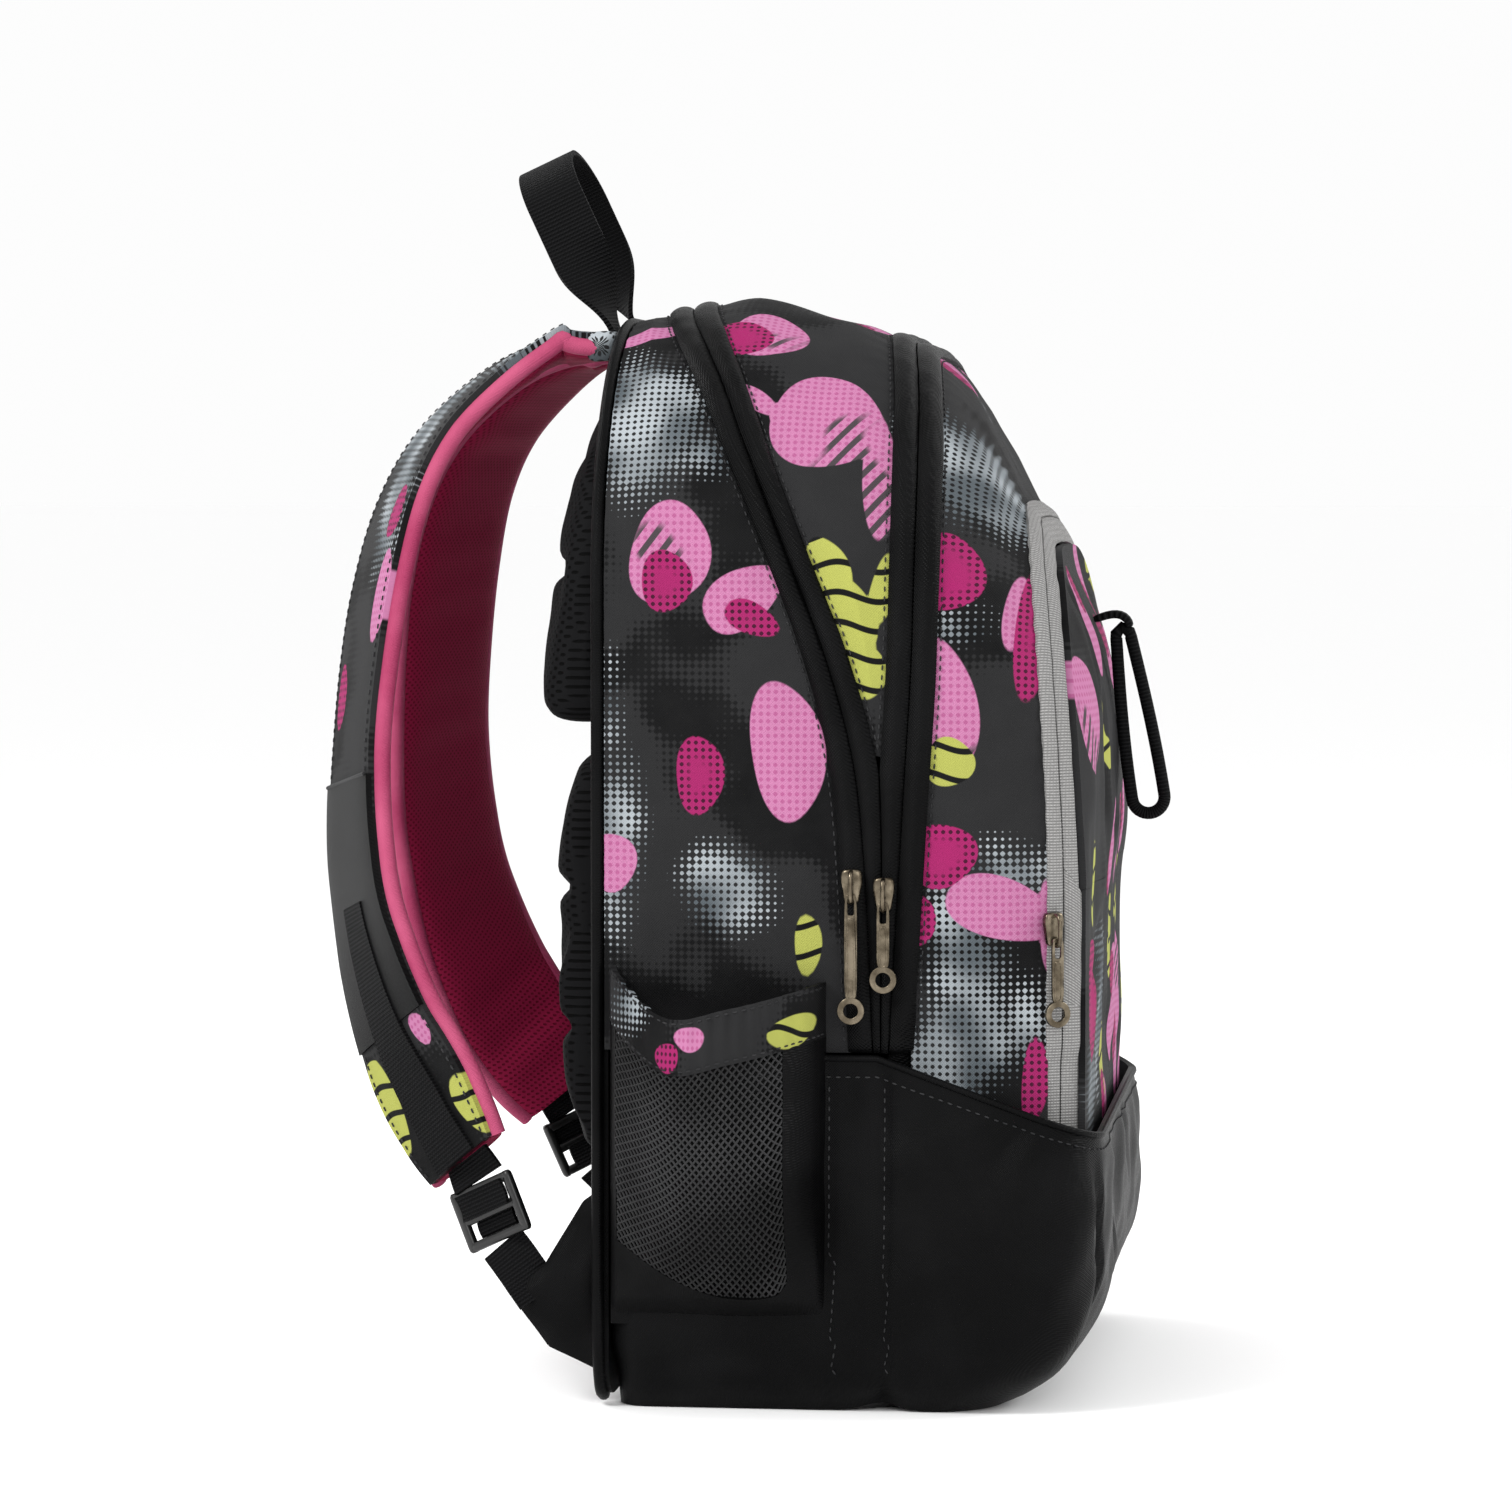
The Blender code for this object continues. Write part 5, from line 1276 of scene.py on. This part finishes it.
def make_back():
    outline = closed_loop(arch_outline(0.1446, 0.4462, 0.1066, 0.004, 24, 0.016), 260)
    flat_sheet("back_panel_cloth", outline, 0.0004, 0.0022, BLACK, "bag_back",
               "back_panel", 91, 0.0004)
    outline = closed_loop(arch_outline(0.1400, 0.4405, 0.1020, 0.012, 24, 0.016), 260)
    flat_sheet("back_lining", outline, 0.0106, 0.0008, LINING, "bag_back", None, 93,
               0.0004)
    at = np.linspace(-1.0, 1.0, 420)
    arch = skin(at, 0.0)
    arch[:, 0] *= 0.99
    arch[:, 1] = Y_BACK + 0.0027
    arch[:, 2] -= np.where(arch[:, 2] > 0.35, 0.0015, 0.0)
    edge_at = curve([(0.003, 0.1290), (0.006, 0.1370), (0.012, 0.1415), (0.022, 0.1450),
                     (0.035, 0.1465), (0.15, 0.1465)])
    heights = np.r_[np.linspace(0.0035, 0.03, 16), np.linspace(0.034, 0.148, 30)]
    low = np.stack([-edge_at(heights), np.full(len(heights), Y_BACK + 0.0027), heights], -1)
    route = np.vstack([low, arch, low[::-1] * (-1, 1, 1)])
    piping = tube("rear_piping_cord", route, 0.0026, BLACK, 12)
    fit(piping, "bag_back", "rear_piping")
    inset = closed_loop(arch_outline(0.139, 0.4405, 0.101, 0.010), 400)
    points = np.stack([inset[:, 0], np.full(len(inset), Y_BACK + 0.0009), inset[:, 1]], -1)
    stitch_row("back_stitches", points, np.tile((0.0, 1.0, 0.0), (len(points), 1)), "bag_back")
    upper = [(0.278, 0.029), (0.295, 0.031), (0.36, 0.022), (0.425, 0.009)]
    channels = [(-0.045, 0.300, -0.045, 0.405), (0.045, 0.300, 0.045, 0.405),
                (-0.100, 0.345, 0.100, 0.345)]
    make_pad("upper_pad", arch_outline(0.120, 0.425, 0.085, 0.281, 24, 0.010), upper,
             "upper_back_pad", channels, 101)
    lower = [(0.09, 0.014), (0.15, 0.020), (0.23, 0.021), (0.272, 0.017)]
    for side, name in SIDES:
        outline = arch_outline(0.0535, 0.2705, 0.020, 0.0995, 12, 0.016) + np.array((side * 0.068, 0))
        channels = [(side * 0.068 - 0.045, z, side * 0.068 + 0.045, z) for z in (0.155, 0.213)]
        make_pad("lower_pad_" + name, outline, lower, "lower_back_pad_" + name, channels, 105 + side)


def make_partitions():
    flat_sheet("lower_partition_cloth", closed_loop(arch_outline(0.1325, 0.1465, 0.003, 0.0066), 200),
               0.1158, 0.0011, LINING, "bag_back", "lower_partition", 111, 0.0003)
    flat_sheet("mid_partition_cloth", closed_loop(arch_outline(0.1455, 0.4378, 0.1075, 0.1538), 240),
               0.11585, 0.0011, LINING, "mid_section", "mid_partition", 113, 0.0003)
    flat_sheet("pocket_divider_cloth", closed_loop(arch_outline(0.1385, 0.3790, 0.0895, 0.1255), 240),
               0.1589, 0.0013, LINING, "front_section", "pocket_divider", 115, 0.0003)
    for name in ("base_stiffener", "back_stiffener"):
        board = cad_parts[name]
        board.data.materials.clear()
        board.data.materials.append(BOARD)


# ---------------------------------------------------------------- straps and handle

def ribbon_frames(path, outward):
    """(point, width direction, normal) for each (point, turn) of a path, as arrays."""
    frames = []
    for i, (point, turn) in enumerate(path):
        before, after = path[max(i - 1, 0)][0], path[min(i + 1, len(path) - 1)][0]
        tangent = (after - before) / np.linalg.norm(after - before)
        back = np.array((0.0, 1.0, 0.5))
        normal = back - tangent * (back @ tangent)
        normal /= np.linalg.norm(normal)
        across = np.cross(normal, tangent)
        if across[0] * outward < 0:
            across = -across
        angle = math.radians(turn)
        face = normal * math.cos(angle) + across * math.sin(angle)
        width = np.cross(face, tangent)
        frames.append((point, width / np.linalg.norm(width), face))
    return frames


def refined(path, steps):
    """The rows of a path with extra rows between them, on a smooth curve."""
    path = np.asarray(path, float)
    rows = []
    for i in range(len(path) - 1):
        before, after = path[max(i - 1, 0)], path[min(i + 2, len(path) - 1)]
        for s in range(steps):
            u = s / steps
            rows.append(-u * (1 - u) ** 2 / 2 * before + (1 - u * u * (5 - 3 * u) / 2) * path[i]
                        + u * (1 + u * (4 - 3 * u)) / 2 * path[i + 1] - u * u * (1 - u) / 2 * after)
    rows.append(path[-1])
    return np.array(rows)


STRAP_STEPS = 12


def strap_world(side, x, depth, z):
    return np.array((side * x, Y_BACK - depth, z))


def ribbon(name, frames, widths, low, high, material, columns=12, crown=0.0):
    """A strip from low to high along its normals, a little fuller along its middle."""
    share = np.linspace(-0.5, 0.5, columns + 1)
    full = 1 - (2 * np.abs(share)) ** 4
    outer = np.array([[p + n * (high + crown * f) + w * width * s for s, f in zip(share, full)]
                      for (p, w, n), width in zip(frames, widths)])
    inner = np.array([[p + n * low + w * width * s for s in share]
                      for (p, w, n), width in zip(frames, widths)])
    made = shell(name, outer, inner, [material])
    run = run_length([f[0] for f in frames])
    u = np.array(widths)[:, None] * share[None, :]
    v = np.repeat(run[:, None], len(share), axis=1)
    return made, set_fabric(made, u, v)


def make_strap(side, name):
    body = "strap_" + name
    rows = refined(STRAP_PATH, STRAP_STEPS)
    frames = ribbon_frames([(strap_world(side, x, d, z), turn) for x, d, z, turn, _ in rows], side)
    widths = rows[:, 4]
    points = np.array([f[0] for f in frames])
    run = run_length(points)
    half = 0.0050
    # Pink body: the inner face and both edges, puffed, with creases across the inner face. Its crimson is
    # the lining pink darkened with painted shade.
    section = [(0.5 * c, n) for c, n in rounded_ring(44, 0.42, 0.62)]
    along = np.stack([run, 0 * run, 0 * run], -1)
    crease = 0.0011 * ripple(along, 0.022, 121 + side) + 0.0014 * ripple(along, 0.060, 131 + side)
    verts = []
    for (p, w, n), width, fold in zip(frames, widths, crease):
        for c, h in section:
            depth = h * half if h > 0 else h * (half + 0.0014) + fold * (1 - (2 * c) ** 2) * 0.8
            verts.append(p + w * (c * (width - 0.001)) + n * depth)
    faces = ring_faces(len(frames), len(section))
    lining = finish_mesh("strap_lining_cloth_" + name, verts, faces, [ROSE])
    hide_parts("strap_lining_" + name)
    # Printed outer face over it.
    cover, flat = ribbon("strap_cover_" + name, frames, widths - 0.0012, 0.0012, half + 0.0002,
                         PRINTED, columns=22, crown=0.0009)
    set_print(cover, flat, strap_motifs(141 + side))
    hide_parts("strap_pad_" + name)
    # Edge piping in the lighter pink: a painted highlight on the lining's edges.
    edges = []
    for edge, label in ((-1, "inner"), (1, "outer")):
        line = [p + w * (edge * (width / 2 - 0.0008)) - n * 0.0008 for (p, w, n), width in
                zip(frames[4:], widths[4:])]
        edges.append(tube(f"strap_piping_{label}_{name}", line, 0.0036, LIT_ROSE_EDGE, 12))
    for made in (lining, cover, *edges):
        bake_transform(made)
    # A plain black patch over the lower half of the outer face, and its seam.
    patch = [i for i in range(len(rows)) if 0.150 < rows[i, 2] < 0.256 and rows[i, 1] < -0.06]
    made, _ = ribbon("strap_patch_" + name, [frames[i] for i in patch], widths[patch] - 0.0008,
                     half - 0.001, half + 0.0014, BLACK, columns=20, crown=0.0008)
    fit(made, body)
    p, w, n = frames[patch[0]]
    line = [p + w * widths[patch[0]] * s + n * (half + 0.0016) for s in np.linspace(-0.47, 0.47, 30)]
    fit(tube("strap_seam_" + name, line, 0.0009, THREAD, 8), body)
    for edge, label in ((-0.44, "inner"), (0.44, "outer")):
        line = [p + w * width * edge + n * (half + 0.0007) for (p, w, n), width in
                zip(frames[14:], widths[14:])]
        stitch_row(f"strap_stitches_{label}_{name}", line, [f[2] for f in frames[14:]], body)
    lower = frames[9 * STRAP_STEPS + STRAP_STEPS // 2:]
    made, _ = ribbon("strap_tape_" + name, lower, [WEBBING_WIDTH] * len(lower), half + 0.0010,
                     half + 0.0028, WEBBING)
    fit(made, body, "strap_webbing_" + name)
    make_lock(side, name, frames[-1][0])


def make_lock(side, name, pad_end):
    """The adjuster with its rounded bars, and the webbing that holds it and runs through it."""
    upper, lower = strap_world(side, *LOCK_TOP), strap_world(side, *LOCK_BOTTOM)
    (_, across, face), _ = ribbon_frames([(upper, LOCK_TURN), (lower, LOCK_TURN)], side)
    along = (lower - upper) / np.linalg.norm(lower - upper)
    length, width, bar = np.linalg.norm(lower - upper), 0.034, 0.0042
    body = "lock_" + name
    tool = bmesh.new()

    def rounded_bar(start, end, wide, thick):
        direction = (end - start) / np.linalg.norm(end - start)
        cross = np.cross(face, direction)
        verts = []
        for share, size in ((0.0, 0.6), (0.04, 0.92), (0.10, 1.0), (0.90, 1.0), (0.96, 0.92), (1.0, 0.6)):
            middle = start + (end - start) * share
            verts += [tool.verts.new(middle + (cross * c * wide + face * s * thick) * size / 2)
                      for c, s in rounded_ring(12, 0.7)]
        for corners in ring_faces(6, 12):
            tool.faces.new([verts[i] for i in corners])

    for edge in (-1, 1):
        rail = across * edge * (width / 2 - bar / 2)
        rounded_bar(upper + rail, lower + rail, bar, 0.0042)
    for share, thick in ((0.08, 0.0042), (0.50, 0.0034), (0.92, 0.0042)):
        middle = upper + along * length * share
        rounded_bar(middle - across * (width / 2 - 0.001), middle + across * (width / 2 - 0.001),
                    bar, thick)
    bmesh.ops.recalc_face_normals(tool, faces=tool.faces)
    mesh = bpy.data.meshes.new("lock_frame_" + name)
    tool.to_mesh(mesh)
    tool.free()
    mesh.shade_smooth()
    mesh.materials.append(PLASTIC)
    fit(link(mesh.name, mesh), body, "ladder_lock_" + name)
    for label, start, sign, wide in (("upper", 0.08, 1, WEBBING_WIDTH),
                                     ("lower", 0.50, -1, LOWER_WEBBING_WIDTH)):
        part = []
        for share in np.linspace(0, 1, 9):
            lift = (0.0030 - 0.0014 * math.sin(math.pi * share)) * sign
            part.append((upper + along * length * (start + 0.42 * share) + face * lift, across, face))
        made, _ = ribbon(f"lock_thread_{label}_{name}", part, [wide] * 9, -0.0009, 0.0009, WEBBING)
        fit(made, body)
    last = upper - along * 0.0008
    path = refined([(*pad_end, 40), (*((pad_end + last) / 2), 48), (*last, LOCK_TURN)], 8)
    turned = ribbon_frames([(p[:3], p[3]) for p in path], side)
    made, _ = ribbon("lock_tape_" + name, turned, [WEBBING_WIDTH] * len(turned), -0.001, 0.001, WEBBING)
    fit(made, "strap_" + name, "lock_webbing_" + name)
    tip = strap_world(side, *WING_TIP)
    path = refined([(*(lower + along * 0.0012), 58), (*((lower + tip) / 2), 70), (*tip, 82),
                    (*(tip + (tip - lower) * 0.5), 84)], 8)
    turned = ribbon_frames([(p[:3], p[3]) for p in path], side)
    made, _ = ribbon("lower_tape_" + name, turned, [LOWER_WEBBING_WIDTH] * len(turned), -0.0009,
                     0.0009, WEBBING)
    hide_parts("lower_webbing_" + name)
    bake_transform(made)


def make_wing(side, name):
    """The folded triangle at the lower corner that takes the strap's webbing."""
    tip_x, tip_d, tip_z = WING_TIP
    edge_d, edge_z = WING_EDGE
    corners = np.array([(-GAP, 0.014), (-GAP, 0.092), (-0.010, 0.085), (tip_d + edge_d, tip_z + edge_z),
                        (tip_d - edge_d, tip_z - edge_z), (-0.025, 0.024)])
    outline = closed_loop(corners, 120)
    rings = np.linspace(0.01, 1, 16)
    grid = fan(outline, corners.mean(axis=0), rings)
    root_x = 0.1400
    x = root_x + (tip_x - root_x) * (grid[..., 0] / tip_d)
    points = np.stack([side * x, Y_BACK - grid[..., 0], grid[..., 1]], -1)
    puff = 0.0022 * (1 - rings[None, :] ** 4) + 0.0006 * ripple(points, 0.02, 151 + side)
    flat = np.array((1.0, 0.0, 0.0))
    outer = points + flat * (0.0006 + puff)[..., None]
    inner = points - flat * (0.0006 + puff)[..., None]
    made = shell("wing_cloth_" + name, outer, inner, [BLACK])
    fit(made, "bag_back", "strap_wing_" + name)


def make_yoke():
    """The printed roll across the top of the back from which the straps and handle rise."""
    low, high = (np.array(v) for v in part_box("strap_yoke"))
    along = np.linspace(low[0], high[0], 90)
    middle, size = (low + high) / 2, (high - low) / 2
    rows, sides = len(along), 28
    points = []
    for x in along:
        end = min(1.0, (high[0] - abs(x)) / 0.004 + 0.35)
        points.append([(x, middle[1] + c * (size[1] + 0.0014) * end, middle[2] + s * size[2] * end)
                       for c, s in rounded_ring(sides, 0.6)])
    points = np.array(points)
    points[..., 2] += 0.0005 * ripple(points, 0.02, 161)
    made = finish_mesh("yoke_cloth", points.reshape(-1, 3), ring_faces(rows, sides), [PRINTED])
    u = np.repeat(along[:, None], sides, 1)
    v = np.repeat(np.linspace(0, 2 * math.pi, sides, endpoint=False)[None, :] * 0.006, rows, 0)
    motifs = scattered_motifs(171, (-0.09, 0.09), (0, 0.04), 7)
    set_print(made, set_fabric(made, u, v, copies=1), motifs)
    fit(made, "bag_back", "strap_yoke")


def make_handle():
    """The webbing handle: its legs turn from the seam's direction to face the sides."""
    hinge = np.array((0.0, Y_BACK - HANDLE_HINGE[0], HANDLE_HINGE[1]))
    up = np.array((0.0, math.sin(HANDLE_LEAN), math.cos(HANDLE_LEAN)))
    back = np.array((0.0, math.cos(HANDLE_LEAN), -math.sin(HANDLE_LEAN)))
    across = np.array((1.0, 0.0, 0.0))
    half, height, round_off = 0.036, 0.080, 0.020
    frames = []
    for rise in np.linspace(-0.001, height - round_off, 24):
        turn = math.pi / 2 * float(step(0.0, 0.045, rise))
        width = across * math.cos(turn) - back * math.sin(turn)
        frames.append((hinge - across * half + up * rise, width, np.cross(width, up)))
    for i in range(1, 32):
        turn = math.pi * i / 32
        place = (hinge - across * half * math.cos(turn)
                 + up * (height - round_off + math.sin(turn) * round_off))
        normal = -across * math.cos(turn) + up * math.sin(turn)
        frames.append((place, -back, normal))
    for rise in np.linspace(height - round_off, -0.001, 24):
        turn = math.pi / 2 * float(step(0.0, 0.045, rise))
        width = -across * math.cos(turn) - back * math.sin(turn)
        frames.append((hinge + across * half + up * rise, width, np.cross(width, -up)))
    made, _ = ribbon("handle_tape", frames, [WEBBING_WIDTH] * len(frames), -0.0011, 0.0011, WEBBING)
    fit(made, "handle", "grab_handle")


# ---------------------------------------------------------------- zip sliders

def skin_frame(at, depth):
    """Point, outward normal, up and across on the skin at one place."""
    point = skin(at, depth)
    forward = skin(at, depth + 0.002) - skin(at, depth - 0.002)
    along = skin(at + 0.01, depth) - skin(at - 0.01, depth)
    normal = np.cross(along, forward)
    normal /= np.linalg.norm(normal)
    if normal[0] * point[0] < 0:
        normal = -normal
    up = along / np.linalg.norm(along)
    up = up if up[2] > 0 else -up
    across = np.cross(up, normal)
    return point, normal, up, across / np.linalg.norm(across)


def lofted(name, sections, material):
    """A closed form through rings of the same number of points, softened by subdivision."""
    verts = [v for ring in sections for v in ring]
    made = finish_mesh(name, verts, ring_faces(len(sections), len(sections[0])), [material])
    soften = made.modifiers.new("soft", "SUBSURF")
    soften.levels = soften.render_levels = 1
    return made


def make_slider(name, at, depth, pull_length):
    point, normal, up, across = skin_frame(at, depth)
    centre = point + normal * (GAP + 0.0024)
    # Body: a wedge that is widest at the top, with a waist.
    sections = []
    for height, wide, thick in ((0.0070, 0.0062, 0.0036), (0.0062, 0.0088, 0.0044),
                                (0.0020, 0.0094, 0.0044), (-0.0022, 0.0074, 0.0044),
                                (-0.0060, 0.0066, 0.0042), (-0.0070, 0.0048, 0.0034)):
        sections.append([centre + up * height + across * c * wide / 2 + normal * s * thick / 2
                         for c, s in rounded_ring(12, 0.5)])
    body = lofted(name + "_slider_body", sections, METAL)
    fit(body, name + "_slider", name + "_zip_slider")
    # Bridge: the arch over the pull's bar.
    outline = [(-0.0060, 0.0010), (-0.0064, 0.0040), (-0.0048, 0.0062), (0.0, 0.0068), (0.0046, 0.0060),
               (0.0060, 0.0040), (0.0058, 0.0010)]
    arch = [centre + up * a + normal * h for a, h in refined(outline, 5)]
    fit(tube(name + "_bridge", arch, 0.00095, METAL, 10), name + "_slider")
    pivot = centre + normal * 0.0040 - up * 0.0040
    make_pull(name, pivot, normal, up, across, pull_length)


def make_pull(name, pivot, normal, up, across, length):
    """A slim tab with raised rails that widens into a round ring end."""
    ring_centre, outer_r, inner_r = length - 0.0055, 0.0055, 0.0030
    tool = bmesh.new()

    def prism(outline, hole, thick):
        rows = []
        for height in (-thick / 2, thick / 2):
            rows.append([tool.verts.new(pivot + across * x - up * y + normal * height)
                         for x, y in outline])
            rows.append([tool.verts.new(pivot + across * x - up * y + normal * height)
                         for x, y in hole])
        count = len(outline)
        for i in range(count):
            j = (i + 1) % count
            tool.faces.new((rows[0][i], rows[0][j], rows[1][j], rows[1][i]))
            tool.faces.new((rows[2][i], rows[3][i], rows[3][j], rows[2][j]))
            tool.faces.new((rows[0][i], rows[2][i], rows[2][j], rows[0][j]))
            tool.faces.new((rows[1][i], rows[1][j], rows[3][j], rows[3][i]))

    def oval(square, wide, middle, reach):
        return [(x * wide, middle + y * reach) for x, y in rounded_ring(40, square)]

    waist, rail_top = ring_centre - outer_r * 0.9, 0.0085
    middle, reach = (rail_top + waist) / 2, (waist - rail_top) / 2
    prism(oval(1, outer_r, ring_centre, outer_r), oval(1, inner_r, ring_centre, inner_r), 0.0019)
    prism(oval(0.35, 0.0026, waist / 2 - 0.0004, waist / 2 + 0.0005),
          oval(0.35, 0.00135, 0.0041, 0.0034), 0.0015)
    prism(oval(0.6, 0.0019, middle, reach), oval(0.6, 0.0011, middle, reach - 0.0009), 0.0021)
    bmesh.ops.recalc_face_normals(tool, faces=tool.faces)
    mesh = bpy.data.meshes.new(name + "_pull_tab")
    tool.to_mesh(mesh)
    tool.free()
    mesh.materials.append(METAL)
    made = link(mesh.name, mesh)
    rounding = made.modifiers.new("edges", "BEVEL")
    rounding.width, rounding.segments, rounding.limit_method = 0.00035, 2, "ANGLE"
    mesh.shade_smooth()
    mesh.set_sharp_from_angle(angle=math.radians(40))
    fit(made, name + "_pull", name + "_zip_pull")


def make_sliders():
    make_slider("main", -0.835, float(main_zip(0.835)) - 0.0053, 0.052)
    make_slider("second", -0.84, float(second_zip(0.84)) - 0.0053, 0.036)
    make_slider("pocket", -0.80, float(pocket_zip(0.80)) - 0.0050, 0.036)


make_camera()
make_studio()
make_body_cloth()
make_flap()
make_front_lower()
make_loop()
make_base()
for side, name in SIDES:
    make_side_pocket(side, name)
    make_strap(side, name)
    make_wing(side, name)
make_back()
make_partitions()
make_yoke()
make_handle()
make_sliders()
